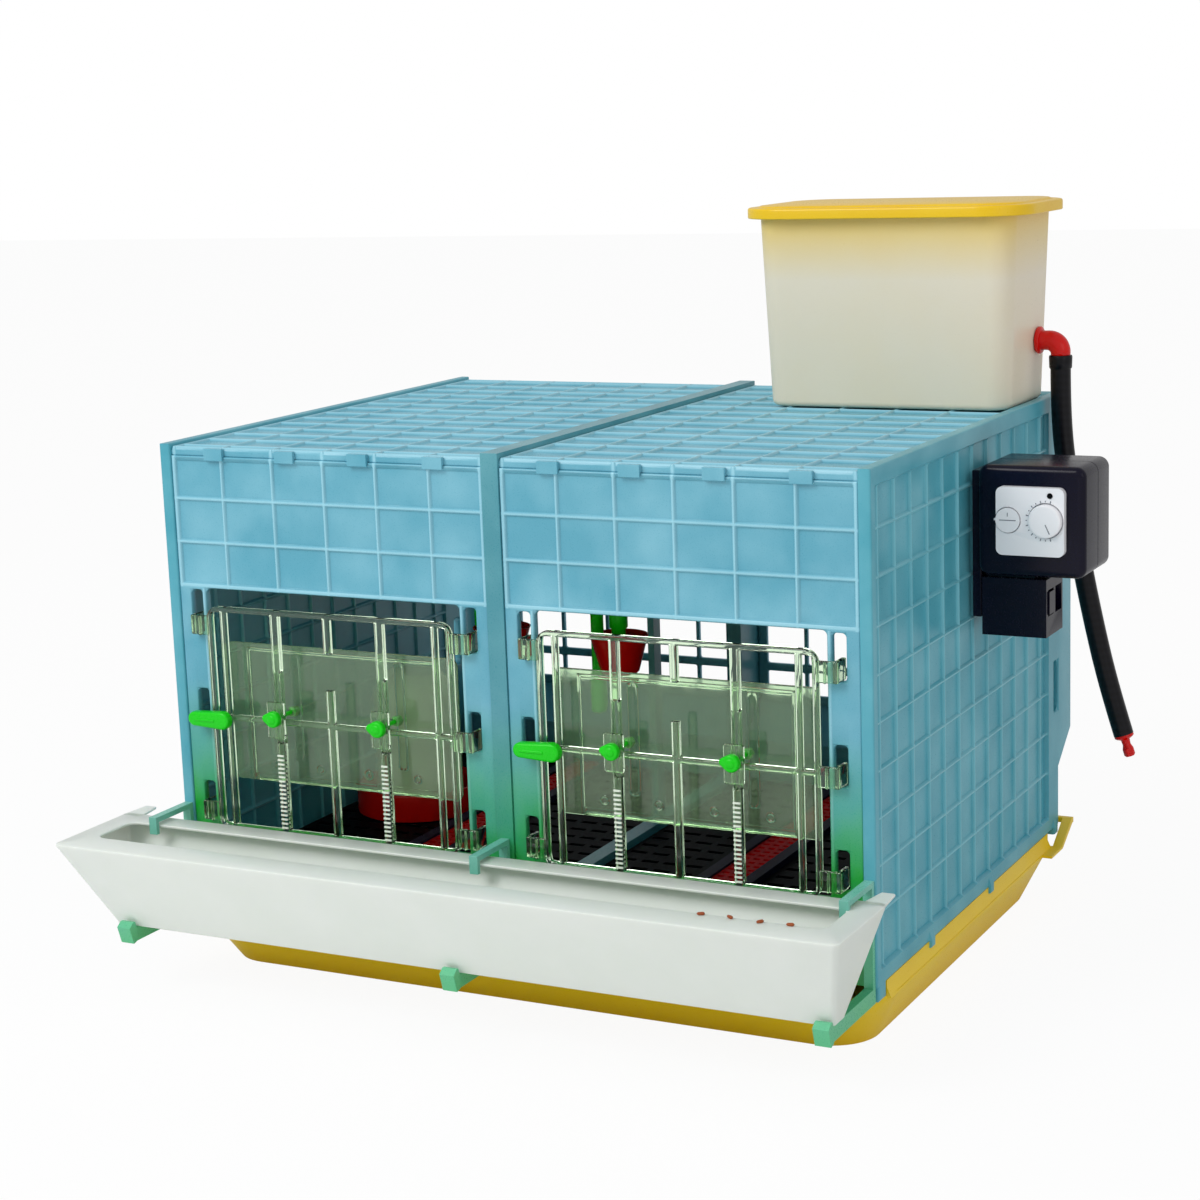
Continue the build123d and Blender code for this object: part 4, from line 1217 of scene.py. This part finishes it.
@dataclass
class Door:
    """One clear door with its hooks, pane, clamp blocks, green lever and green knobs."""

    word: str
    side: int
    panel_x: float = 205.5
    half: float = 155.0
    span: Span = (164.0, 416.0)
    front: float = -337.0
    thick: float = 8.0
    bar: float = 6.0
    stile: float = 134.0
    rail: float = 66.5
    rail_width: float = 10.0
    cross: float = 292.0
    screw_slot: Span = (268.0, 348.0)
    stubs: tuple[Span, ...] = ((164.0, 332.0), (372.0, 416.0))
    hook_x: float = 173.5
    hook_lows: Place = (383.5, 278.0, 172.0)
    hooks: tuple[tuple[int, int], ...] = ((-1, 0), (-1, 2), (1, 0), (1, 1), (1, 2))
    hook_height: float = 22.0
    hook_rear: float = -313.2
    pane_half: float = 148.0
    pane_span: Span = (217.0, 373.0)
    pane_depth: Span = (-314.0, -311.6)
    border: float = 119.0
    loop_shift: float = 9.0
    loop_span: Span = (250.0, 358.0)
    mark_step: float = 62.0
    mark_z: float = 236.0
    clamp_span: Span = (275.0, 316.0)
    knob_z: float = 298.0
    lever_tip: float = -182.0
    lever_reach: float = 44.0
    lever_z: float = 289.5

    @property
    def middle(self) -> float:
        """X of the door's middle."""
        return self.side * self.panel_x

    def screw_hole(self, x: float) -> Rect:
        """The round hole that a knob's screw goes through."""
        return Rect((x - 2.4, x + 2.4), (self.knob_z - 2.4, self.knob_z + 2.4), 2.3)

    def lattice_shell(self) -> Shell:
        """The door's frame, stiles, rails with a screw slot, cross bar and stubs, as one plate.

        Returns:
            The plate.
        """
        m = self.middle
        low, high = self.span
        full = (m - self.half, m + self.half)
        solids = [
            Rect(full, (low, low + self.bar)),
            Rect(full, (high - self.bar, high)),
            Rect((full[0], full[0] + self.bar), self.span),
            Rect((full[1] - self.bar, full[1]), self.span),
            Rect((full[0] + 2, full[1] - 2), (self.cross - 3, self.cross + 3)),
        ]
        solids += [Rect((m - 4, m + 4), stub) for stub in self.stubs]
        holes = []
        for hand in (-1, 1):
            stile, rail = m + hand * self.stile, m + hand * self.rail
            solids.append(Rect((stile - 3, stile + 3), self.span))
            solids.append(Rect((rail - self.rail_width / 2, rail + self.rail_width / 2), self.span))
            holes.append(Rect((rail - 2.7, rail + 2.7), self.screw_slot, 2.6))
        return Plate(Plane.FRONT, solids, self.front, self.front + self.thick, holes, 1.5, 15.0).shell()

    def hook_shell(self, hand: int, low: float) -> Shell:
        """A J-shaped hook: a plate on the door's edge that turns back through the panel's slot.

        Args:
            hand: The side of the door that it is on.
            low: Height of its lower edge.

        Returns:
            The hook.
        """
        heights, y = (low, low + self.hook_height), self.front
        x = self.middle + hand * self.hook_x
        rib = self.middle + hand * (self.half + 8)
        root, tip = sorted((self.middle + hand * (self.half - 2), x + hand * 2.5))
        plate = block(Plane.FRONT, (root, tip), heights, (y, y + 4), 1.5, 1.4)
        tongue = block(Plane.FRONT, (x - 2.5, x + 2.5), heights, (y + 0.4, self.hook_rear), 1.4, 1.2)
        fin = block(Plane.FRONT, (rib - 1.2, rib + 1.2), heights, (y - 2.5, y + 2), 0.8, 0.8)
        return joined([plate, tongue, fin])

    def pane_shell(self) -> Shell:
        """The sliding pane: thin sheet with a border rib, a thick lower lip, long loops and round marks.

        Returns:
            The pane.
        """
        m, inner = self.middle, self.border
        low, high = self.pane_span
        loops = (m - self.rail + self.loop_shift, m + self.rail + self.loop_shift)
        marks = m + self.mark_step * (np.arange(4) - 1.5)

        def relief(x: Array, z: Array) -> Relief:
            """Border and lip behind; in front, raised lines at a set distance from a segment or a point.

            Args:
                x: Across.
                z: Up.

            Returns:
                Relief in front, relief behind, and no share of a rib.
            """
            upright = ridge(np.abs(x - m), np.array([inner]), 2.2) * (z < high - 6)
            top = ridge(z, np.array([high - 7.5]), 2.2) * (np.abs(x - m) < inner)
            lip = smooth_step((low + 8 - z) / 1.5) * smooth_step((inner - np.abs(x - m)) / 1.5)
            back = np.maximum(2.4 * np.maximum(upright, top), 6.0 * lip * smooth_step((z - low) / 2))
            lines = [(centre, self.loop_span, 5.5) for centre in loops]
            lines += [(centre, (self.mark_z, self.mark_z), 4.0) for centre in marks]
            front = np.zeros_like(x)
            for centre, segment, radius in lines:
                away = np.hypot(x - centre, z - np.clip(z, *segment))
                front = np.maximum(front, smooth_step((1.2 - np.abs(away - radius)) / 0.8))
            return -0.9 * front, back, np.zeros_like(x)

        fine = [centre + step for centre in (*loops, *marks) for step in np.arange(-7.5, 7.6, 0.75)]
        borders = [m + s * (inner + step) for s in (-1, 1) for step in (-2.2, -1.1, 0, 1.1, 2.2)]
        rows = [*np.arange(229.0, 243.5, 0.75), *np.arange(243.5, 366.0, 1.8), low + 6.5, low + 8]
        plate = Plate(
            Plane.FRONT,
            [Rect((m - self.pane_half, m + self.pane_half), self.pane_span)],
            *self.pane_depth,
            [self.screw_hole(m + hand * self.rail) for hand in (-1, 1)],
            rounding=0.9,
            corner=10.0,
            across_lines=np.array(fine + borders),
            up_lines=np.array(rows),
            relief=relief,
        )
        return plate.shell()

    def lever_shell(self) -> Shell:
        """The lever: a bar drawn tight round a tip circle and a larger hub circle, with a finger ridge.

        Returns:
            The lever.
        """
        tip, z = self.middle + self.lever_tip, self.lever_z
        hub, front = tip + self.lever_reach, self.front - 10
        steps = falling(front + 3, 3.0) + [(self.front - 1, 0.0)]
        loops = [Loop(((tip + 8, z, 8 - inset), (hub, z, 10 - inset)), level) for level, inset in steps]
        loops += [Loop(((hub, z, 9.6),), self.front - 0.9), Loop(((hub, z, 9.0),), self.front - 0.3)]
        grip = block(Plane.FRONT, (tip + 8, hub - 8), (z - 1.6, z + 1.6), (front - 1, front + 2), 1.5, 0.9)
        return joined([lofted(Plane.FRONT, loops, 72), grip])

    def knob_shell(self, x: float) -> Shell:
        """A clamp knob: head with a wing, screw through the door and the pane, and a nut behind.

        Args:
            x: Its place across the door.

        Returns:
            The knob.
        """
        z, face, back = self.knob_z, self.front - 15, self.pane_depth[1]
        steps = falling(face + 2.4, 2.4) + [(self.front - 8.4, 0.0), (self.front - 7.4, 1.0)]
        head = [Loop(((x, z, 9.0 - inset), (x - 8.0, z + 1.0, 4.5 - inset)), level) for level, inset in steps]
        cap = turned([(3.6, face - 1.2), (4.8, face - 0.4), (5.0, face + 1)], (x, z), Plane.FRONT)
        screw = turned([(2.3, self.front - 8), (2.3, back + 9)], (x, z), Plane.FRONT)
        lobed = [(4.2, back + 0.3), (5.4, back + 1.2), (5.4, back + 8.8), (4.4, back + 10)]
        nut = lofted(Plane.FRONT, [Loop(((x, z, radius),), y, 6, 0.07) for radius, y in lobed], 60)
        return joined([lofted(Plane.FRONT, head, 72), cap, screw, nut])

    def clamp_shell(self, x: float) -> Shell:
        """A clamp block that a knob's screw goes through.

        Args:
            x: Its place across the door.

        Returns:
            The block.
        """
        depth = (self.front - 7, self.front - 2)
        outline = Rect((x - 11, x + 11), self.clamp_span)
        return Plate(Plane.FRONT, [outline], *depth, [self.screw_hole(x)], 1.2, 3.0).shell()

    def build(self) -> None:
        """Makes the door and everything that rides on it."""
        word, clear = self.word, "clear_plastic"
        rails = [self.middle + hand * self.rail for hand in (-1, 1)]
        hooks = [self.hook_shell(hand, self.hook_lows[slot]) for hand, slot in self.hooks]
        door = joined([self.lattice_shell(), *hooks])
        clamps = joined([self.clamp_shell(x) for x in rails])
        add_piece(f"{word}_door_lattice", door, CLEAR, f"door_{word}", f"door_{word}")
        add_piece(f"{word}_feed_pane", self.pane_shell(), PANE, f"pane_{word}", f"feed_pane_{word}")
        add_piece(f"{word}_clamp_blocks", clamps, CLEAR, f"pane_{word}", f"clamp_blocks_{word}")
        lever = self.lever_shell()
        add_piece(f"{word}_lever", lever, GREEN, f"lever_{word}", f"door_lever_{word}")
        for x, place in zip(rails, "ab"):
            body, node = f"knob_{word}_{place}", f"clamp_knob_{word}_{place}"
            add_piece(f"{word}_knob_{place}", self.knob_shell(x), GREEN, body, node)
        dress(SCALE, f"door_rack_{word}")


@dataclass
class Feeding:
    """The feed trough, its three brackets and a few spilt pellets on its lip."""

    low: tuple[Span, Span] = ((-431.0, 415.0), (-443.0, -412.0))
    rim: tuple[Span, Span] = ((-469.0, 439.0), (-491.0, -362.0))
    mouth: tuple[Span, Span] = ((-441.0, 411.0), (-453.0, -390.0))
    base: float = 77.0
    rim_z: float = 177.6
    wall: float = 2.6
    ear_y: float = -335.0
    ear_width: float = 24.0
    pellets: tuple[Place, ...] = ((286, -458, 0.4), (316, -457, -0.5), (348, -459, 0.9), (378, -457, 0.2))
    pellet_radius: float = 1.7
    pellet_half: float = 4.0

    def trough_shell(self) -> Shell:
        """The trough as one loft: up the outside, over the lip, and down the inside to its floor.

        Returns:
            The trough with its two ears.
        """
        top, wall = self.rim_z, self.wall
        loops = stack(self.low, 6.0, falling(self.base + 3, 3.0))
        loops += stack(self.rim, 7.0, [(top - wall, 0.0), (top - 0.8, 0.0), (top, 0.9)])
        loops += stack(self.mouth, 12.0, [(top, -0.9), (top - 0.9, 0.0), (top - wall, -0.4)])
        loops += stack(self.rim, 7.0, [(top - wall - 0.4, wall + 0.6)])
        loops += stack(self.low, 6.0, [(self.base + wall, wall)])
        (left, right), (_, rear) = self.rim
        inner, end = rear - 6, self.ear_y + 2
        corners = ((2, inner), (5, end), (self.ear_width - 8, end), (self.ear_width - 2, inner))
        steps = ((top - wall, 0.5), (top - wall + 0.5, 0.0), (top - 0.6, 0.0), (top, 0.6))
        shells = [lofted(Plane.FLAT, loops, 96)]
        for edge, inward in ((left, 1), (right, -1)):
            ear = [Loop(tuple((edge + inward * x, y, 2.0 - i) for x, y in corners), z) for z, i in steps]
            shells.append(lofted(Plane.FLAT, ear))
        return joined(shells)

    def pellet_shell(self, x: float, y: float, turn: float) -> Shell:
        """A short pressed pellet lying on the lip: a capsule, bent a little by a wave in its radius.

        Args:
            x: Its place across.
            y: Its place in depth.
            turn: Its turn about the upright, in radians.

        Returns:
            The pellet.
        """
        along = np.linspace(-1, 1, 9)
        radius = np.sqrt(np.clip(1 - along**4, 0.02, 1)) * (1 + 0.06 * np.sin(3 * along))
        path = np.stack([self.pellet_half * along, np.zeros(9), np.zeros(9)], axis=-1)
        cos, sin = math.cos(turn), math.sin(turn)
        spin = np.array([[cos, -sin, 0.0], [sin, cos, 0.0], [0.0, 0.0, 1.0]])
        shell = swept(path, self.pellet_radius * radius, 12)
        return shell.placed(spin, (x, y, self.rim_z + self.pellet_radius))

    def build(self) -> None:
        """Makes the trough, brackets and pellets."""
        add_piece("trough", self.trough_shell(), TROUGH, "cage", "feed_trough")
        for word in ("left", "middle", "right"):
            softened(f"trough_bracket_{word}", BRACKET, "cage", 1.2)
        pellets = joined([self.pellet_shell(*place) for place in self.pellets])
        add_piece("spilt_pellets", pellets, FEED, "cage")


@dataclass
class Water:
    """The water tank with its lid, outlet elbow, drain hose and plug."""

    base: tuple[Span, Span] = ((112.0, 400.0), (128.0, 277.0))
    mouth: tuple[Span, Span] = ((104.0, 408.0), (120.0, 285.0))
    foot_z: float = 590.0
    top_z: float = 809.0
    wall: float = 3.0
    corner: float = 24.0
    overhang: float = 18.0
    lid_top: float = 819.0
    outlet: Span = (234.0, 659.0)
    elbow_x: float = 430.0
    turn: float = 14.0
    hose_width: float = 23.0
    hose_length: float = 434.0
    route: tuple[Place, ...] = (
        (430.0, 234.0, 631.0),
        (430.0, 234.0, 572.0),
        (438.5, 234.0, 500.0),
        (452.0, 234.0, 418.0),
        (469.0, 234.0, 336.0),
        (487.0, 234.0, 262.0),
        (505.0, 234.0, 205.0),
    )

    def hose(self) -> Object:
        """The drain hose: a round tube on a smooth spline through its route.

        Returns:
            The hose.
        """
        curve = bpy.data.curves.new("hose", "CURVE")
        curve.dimensions = "3D"
        curve.bevel_depth = self.hose_width / 2 * MM
        curve.bevel_resolution = 8
        curve.resolution_u = 24
        curve.use_fill_caps = True
        spline = curve.splines.new("NURBS")
        spline.points.add(len(self.route) - 1)
        for point, place in zip(spline.points, self.route):
            point.co = (*(value * MM for value in place), 1.0)
        spline.order_u = 3
        spline.use_endpoint_u = True
        curve.materials.append(RUBBER.material())
        return declared(bpy.data.objects.new("hose", curve), "cage", "drain_hose")

    def plug_shell(self) -> Shell:
        """The stopper in the hose's end: collar, waisted stem and a flat grip, laid along the last run.

        Returns:
            The stopper.
        """
        collar = [(4, -3), (10, -2.2), (11.2, -0.5), (11.2, 2.5), (9.5, 4)]
        stem = [(5.2, 6), (4.6, 12), (5.6, 15), (6.4, 17), (6.4, 24), (4.8, 26)]
        grip = block(Plane.FLAT, (-9.0, 9.0), (-2.2, 2.2), (16.0, 25.5), 2.0, 1.4)
        end, before = (Vector(self.route[i]) for i in (-1, -2))
        spin = np.array((end - before).to_track_quat("Z", "Y").to_matrix())
        return joined([turned(collar + stem, (0.0, 0.0)), grip]).placed(spin, tuple(end))

    def elbow_shell(self) -> Shell:
        """The outlet elbow: a flanged tube that turns down through a quarter circle, fuller in its bend.

        Returns:
            The elbow.
        """
        y, z = self.outlet
        runs = [(392.0, 8.0), (403.1, 8.0), (403.2, 14.6), (404.2, 15.5)]
        runs += [(407.0, 15.5), (408.2, 14.4), (408.6, 11.5), (412.0, 11.0)]
        angle = np.linspace(0, math.pi / 2, 12)
        bend_x = self.elbow_x - self.turn + self.turn * np.sin(angle)
        bend_z = z - self.turn * (1 - np.cos(angle))
        path = [(x, y, z) for x, _ in runs]
        path += [(x, y, height) for x, height in zip(bend_x, bend_z)]
        path += [(self.elbow_x, y, z - self.turn - drop) for drop in (2, 4)]
        radius = [r for _, r in runs] + list(11.2 + 0.5 * np.sin(2 * angle)) + [11.0, 10.0]
        return swept(np.array(path), np.array(radius), 48)

    def tank_shell(self) -> Shell:
        """The tank as one loft: rounded foot, leaning sides, turned-out rim, and the inside to its floor.

        Returns:
            The tank.
        """
        top, foot, wall = self.top_z, self.foot_z, self.wall
        rim = [(top - 6, 0.0), (top - 3.2, 0.0), (top - 3, -6.0), (top, -6.0), (top, wall)]
        loops = stack(self.base, self.corner, falling(foot + 7, 7.0, 5))
        loops += stack(self.mouth, self.corner + 4, rim)
        loops += stack(self.base, self.corner, [(foot + 9, wall), (foot + 3, 9.0)])
        return lofted(Plane.FLAT, loops, 96)

    def lid_shell(self) -> Shell:
        """The lid: a skirt outside the tank's rim, a rounded edge and a step up to its flat top.

        Returns:
            The lid.
        """
        top = self.lid_top
        low = top - 14.0
        steps = [(self.top_z + 0.3, 3.0), (low + 0.8, 3.0), (low, 2.2), (low, 0.8), (low + 0.8, 0.0)]
        steps += rising(top - 4.5, 2.5) + [(top - 2.0, 12.0), (top - 0.6, 13.4), (top, 15.0)]
        steps = [(level, inset - self.overhang) for level, inset in steps]
        return lofted(Plane.FLAT, stack(self.mouth, self.corner + 14, steps), 96)

    def build(self) -> None:
        hose = self.hose()
        plug = add_piece("hose_stopper", self.plug_shell(), RED, "cage", "hose_plug")
        profile = [(11.8, 627.0), (12.8, 628.4), (13.0, 634.0), (13.2, 640.6), (12.6, 642.2), (10.6, 642.6)]
        cuff = turned(profile, (self.elbow_x, self.outlet[0]))
        add_piece("hose_cuff", cuff, RUBBER, "cage", "elbow_nut")
        add_piece("outlet_elbow", self.elbow_shell(), RED, "cage", "tank_elbow")
        add_piece("tank", self.tank_shell(), TANK, "cage", "water_tank")
        add_piece("lid", self.lid_shell(), LID, "lid", "tank_lid")


@dataclass
class Thermostat:
    """The thermostat on the right wall: box, control plate, dial, switch, lamp and mains inlet."""

    box: tuple[Span, Span] = ((424.6, 540.0), (440.0, 557.0))
    box_y: Span = (-45.0, 47.0)
    corner: float = 11.0
    split: float = 2.0
    groove: float = 0.8
    face_y: float = -53.0
    dial: Span = (500.4, 501.6)
    switch: Span = (460.0, 501.0)
    ticks: int = 15

    def plate_ticks(self) -> Shell:
        """Ticks printed on the plate round the left of the dial, 15 degrees apart, every other one short.

        Returns:
            The ticks.
        """
        depth = (self.face_y - 0.15, self.face_y + 0.1)
        marks = [(math.radians(75 + 15 * tick), 1.4 - 0.6 * (tick % 2)) for tick in range(self.ticks)]
        return joined([self.mark(angle, 20.5, half, depth) for angle, half in marks])

    def mark(self, angle: float, reach: float, half: float, depth: Span) -> Shell:
        """A thin printed line that points at the dial's centre.

        Args:
            angle: Its direction from the centre, in radians from the right.
            reach: Distance of its middle from the centre.
            half: Half its length.
            depth: Its front and rear.

        Returns:
            The line.
        """
        cos, sin = math.cos(angle), math.sin(angle)
        x, z = self.dial
        spin = np.array([[sin, 0.0, cos], [0.0, 1.0, 0.0], [-cos, 0.0, sin]])
        line = block(Plane.FRONT, (-0.3, 0.3), (-half, half), depth, 0.25, 0.08, 12)
        return line.placed(spin, (x + reach * cos, 0.0, z + reach * sin))

    def box_halves(self) -> None:
        """The box's two halves, with a fine groove where they meet."""
        near, far = self.box_y
        split, groove = self.split, self.groove
        front = falling(near + 7, 7.0, 6) + [(split - groove, 0.0), (split, groove)]
        rear = [(split, groove), (split + groove, 0.0)] + rising(far - 5, 5.0, 5)
        for word, steps, node in (("front", front, "cover"), ("rear", rear, "back_box")):
            half = lofted(Plane.FRONT, stack(self.box, self.corner, steps), 64)
            add_piece(f"thermostat_{word}_half", half, BOX, "cage", f"thermostat_{node}")

    def controls(self) -> None:
        """The dial with its pointer, the plate's ticks and the switch's marks."""
        face = self.face_y
        knob = [(17.0, face + 4.5), (17.5, face + 4), (17.5, face - 4.6), (16.9, face - 5.4)]
        knob += [(15.6, face - 5.8), (13.0, face - 5.9), (0.2, face - 5.9)]
        dial = turned(knob, self.dial, Plane.FRONT)
        add_piece("temperature_dial", dial, FACE, "dial", "thermostat_dial")
        pointer = self.mark(math.radians(-65), 8.5, 5.5, (face - 6.1, face - 5.8))
        add_piece("dial_pointer", pointer, MARK, "dial")
        add_piece("plate_ticks", self.plate_ticks(), MARK, "cage")
        softened("thermostat_switch", FACE, "switch", 0.5)
        x, z = self.switch
        depth = (face - 1.7, face - 1.3)
        line = block(Plane.FRONT, (x - 9, x + 9), (z - 0.5, z + 0.5), depth, 0.4, 0.15, 16)
        tick = block(Plane.FRONT, (x - 0.5, x + 0.5), (z + 4, z + 8), depth, 0.4, 0.15, 16)
        add_piece("switch_marks", joined([line, tick]), MARK, "switch")

    def build(self) -> None:
        """Makes the box and its controls, and dresses the inlet."""
        self.box_halves()
        softened("thermostat_face", FACE, "cage", 1.0)
        self.controls()
        softened("thermostat_bracket", BOX, "cage", 1.2)
        softened("inlet_housing", BOX, "cage", 1.4)
        softened("inlet_rocker", BOX, "rocker", 0.6)
        dress(MAT, "thermostat_lamp")
        dress(STEEL, "thermostat_screws", "inlet_pins")


@dataclass
class Interior:
    """Floors, strips, drinkers and heater inside the cage. Profiles are radius and height above a base."""

    drinker: Span = (-312.0, 8.0)
    floor: float = 100.0
    cup: Span = (72.0, -190.0)
    cup_z: float = 340.0
    drop_shift: Span = (-27.0, 2.0)

    def floor_drinker(self) -> None:
        """The red dish and the jar that stands in it, turned about one axis."""
        dish = [(74, 0), (76, 1.5), (76, 31), (75.2, 33.4), (74, 34), (72.8, 33.4), (72, 31)]
        dish += [(71.5, 6), (68, 4), (47, 4), (45, 7), (44, 12)]
        jar = [(49, 12.2), (50, 14), (50, 140), (48.6, 149), (44, 157), (37, 165), (33, 171), (31, 172)]
        bowl, body = (turned([(r, self.floor + z) for r, z in form], self.drinker) for form in (dish, jar))
        add_piece("drinker_dish", bowl, RED, "floor_drinker", "drinker_base")
        add_piece("drinker_jar_body", body, JAR, "floor_drinker", "drinker_jar")

    def hanging_drinkers(self) -> None:
        """Cups, stems and caps of the two hanging drinkers, each turned about its own axis."""
        cup = [(15, 0), (19, 1), (21, 3), (31, 40), (32, 42), (30.5, 42.5), (29.4, 40), (19, 6), (12, 4)]
        stem = [(9, 4.2), (10, 5), (10, 30), (7.5, 33), (7.5, 48), (10, 51), (10, 65.6)]
        drop = [(4, -46), (8, -44), (9, -38), (9, -4), (7, 0), (7, 62), (9, 65.8)]
        cap = [(15.5, 66), (17, 67.5), (17, 75), (14, 78), (7, 78)]
        beside, behind = self.drop_shift
        cups, stems, caps = [], [], []
        for side in SIDES.values():
            x, y = side * self.cup[0], self.cup[1]
            places = ((cups, cup, (x, y)), (stems, stem, (x, y)), (stems, drop, (x + beside, y + behind)))
            for group, form, centre in (*places, (caps, cap, (x, y))):
                group.append(turned([(r, self.cup_z + z) for r, z in form], centre))
        add_piece("hanging_cups", joined(cups), RED, "cage", "drinker_cups")
        add_piece("valve_stems", joined(stems), GREEN, "cage", "drinker_stems")
        add_piece("valve_caps", joined(caps), ORANGE, "cage", "drinker_caps")

    def build(self) -> None:
        """Makes the drinkers and dresses the rest."""
        self.floor_drinker()
        self.hanging_drinkers()
        dress(MAT, "floor_mesh_left", "floor_mesh_right")
        dress(STRIP, "litter_strips")
        dress(RAIL, "strip_rails", "water_pipe")
        dress(ENAMEL, "heater_plate")
        dress(STEEL, "heater_hangers")
        softened("heat_sensor", FACE, "cage", 0.8)


@dataclass
class Studio:
    """Camera, lamps, white world and floor. Angles are in degrees and places in metres."""

    yaw: float = 27.466
    pitch: float = 11.261
    roll: float = -2.083
    lens: float = 74.49
    place: Place = (1.25475, -2.50635, 0.93854)
    aim: Place = (0.0, 0.0, 0.35)
    world_light: float = 0.62
    floor_reach: float = 14.0
    floor_glow: float = 0.93

    def camera(self) -> None:
        """The camera at the photograph's angle, turned by yaw, pitch and roll in that order."""
        yaw, pitch, roll = (math.radians(angle) for angle in (self.yaw, self.pitch, self.roll))
        level = math.cos(pitch)
        ahead = Vector((-math.sin(yaw) * level, math.cos(yaw) * level, -math.sin(pitch)))
        right = Vector((math.cos(yaw), math.sin(yaw), 0.0))
        above = right.cross(ahead)
        across = math.cos(roll) * right + math.sin(roll) * above
        upright = -math.sin(roll) * right + math.cos(roll) * above
        data = bpy.data.cameras.new("view")
        data.lens = self.lens
        data.sensor_width = 36.0
        camera = bpy.data.objects.new("view", data)
        turn = Matrix((across, upright, -ahead)).transposed().to_4x4()
        camera.matrix_world = Matrix.Translation(self.place) @ turn
        bpy.context.scene.collection.objects.link(camera)
        bpy.context.scene.camera = camera

    @staticmethod
    def seen(tree: Tree) -> Socket:
        """1 for rays from the camera and those let through, 0 for the rest.

        Args:
            tree: The node tree.

        Returns:
            The value's socket.
        """
        path = add_node(tree, "ShaderNodeLightPath").outputs
        both = {0: path["Is Camera Ray"], 1: path["Is Transmission Ray"]}
        return add_node(tree, "ShaderNodeMath", {"operation": "ADD", "use_clamp": True}, both).outputs[0]

    def world(self) -> None:
        """White where it is seen, and a softer light on the object."""
        world = bpy.data.worlds.new("studio")
        tree = emptied(world)
        white = linear("#FFFFFF")
        light = add_node(tree, "ShaderNodeBackground", {}, {0: white, 1: self.world_light})
        shown = add_node(tree, "ShaderNodeBackground", {}, {0: white, 1: 1.0})
        mixed = {0: self.seen(tree), 1: light.outputs[0], 2: shown.outputs[0]}
        mixed = add_node(tree, "ShaderNodeMixShader", {}, mixed)
        add_node(tree, "ShaderNodeOutputWorld", {}, {"Surface": mixed.outputs[0]})
        bpy.context.scene.world = world

    def floor(self) -> None:
        """A wide pale floor that keeps a faint shadow of the object."""
        mesh = bpy.data.meshes.new("floor")
        reach = self.floor_reach
        corners = [(reach * x, reach * y, 0) for x, y in ((-1, -1), (1, -1), (1, 1), (-1, 1))]
        mesh.from_pydata(corners, [], [range(4)])
        material = bpy.data.materials.new("pale_floor")
        tree = emptied(material)
        paper = add_node(tree, "ShaderNodeBsdfDiffuse", {}, {0: linear("#F4F4F4")})
        glow = add_node(tree, "ShaderNodeEmission", {}, {0: linear("#FFFFFF"), 1: 1.0})
        share = add_node(tree, "ShaderNodeMath", MULTIPLY, {0: self.seen(tree), 1: self.floor_glow})
        mixed = {0: share.outputs[0], 1: paper.outputs[0], 2: glow.outputs[0]}
        mixed = add_node(tree, "ShaderNodeMixShader", {}, mixed)
        add_node(tree, "ShaderNodeOutputMaterial", {}, {"Surface": mixed.outputs[0]})
        mesh.materials.append(material)
        floor = bpy.data.objects.new("floor", mesh)
        bpy.context.scene.collection.objects.link(floor)

    def lamp(self, name: str, place: Place, power: float, size: float) -> None:
        """A square soft lamp that faces the middle of the object.

        Args:
            name: The lamp's name.
            place: Where it stands.
            power: Its power in watts.
            size: Its side in metres.
        """
        data = bpy.data.lights.new(name, "AREA")
        data.energy = power
        data.size = size
        lamp = bpy.data.objects.new(name, data)
        lamp.location = place
        lamp.rotation_mode = "QUATERNION"
        lamp.rotation_quaternion = (Vector(self.aim) - Vector(place)).to_track_quat("-Z", "Y")
        bpy.context.scene.collection.objects.link(lamp)

    def build(self) -> None:
        """Sets up the studio."""
        self.world()
        self.floor()
        self.lamp("key", (-1.2, -2.8, 2.7), 60.0, 1.8)
        self.lamp("fill", (2.8, -1.6, 1.5), 5.0, 1.6)
        bpy.context.scene.view_settings.view_transform = "Standard"


def main() -> None:
    """Loads the frame and builds the brooder's looks round it."""
    logging.basicConfig(level=logging.INFO, format="%(name)s: %(message)s")
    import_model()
    studio = Studio()
    studio.camera()
    Water().build()
    Cage().build()
    for word, side in SIDES.items():
        Door(word, side).build()
    Feeding().build()
    softened("droppings_tray", TRAY, "tray", 1.4)
    Thermostat().build()
    Interior().build()
    studio.build()


if __name__ == "__main__":
    main()
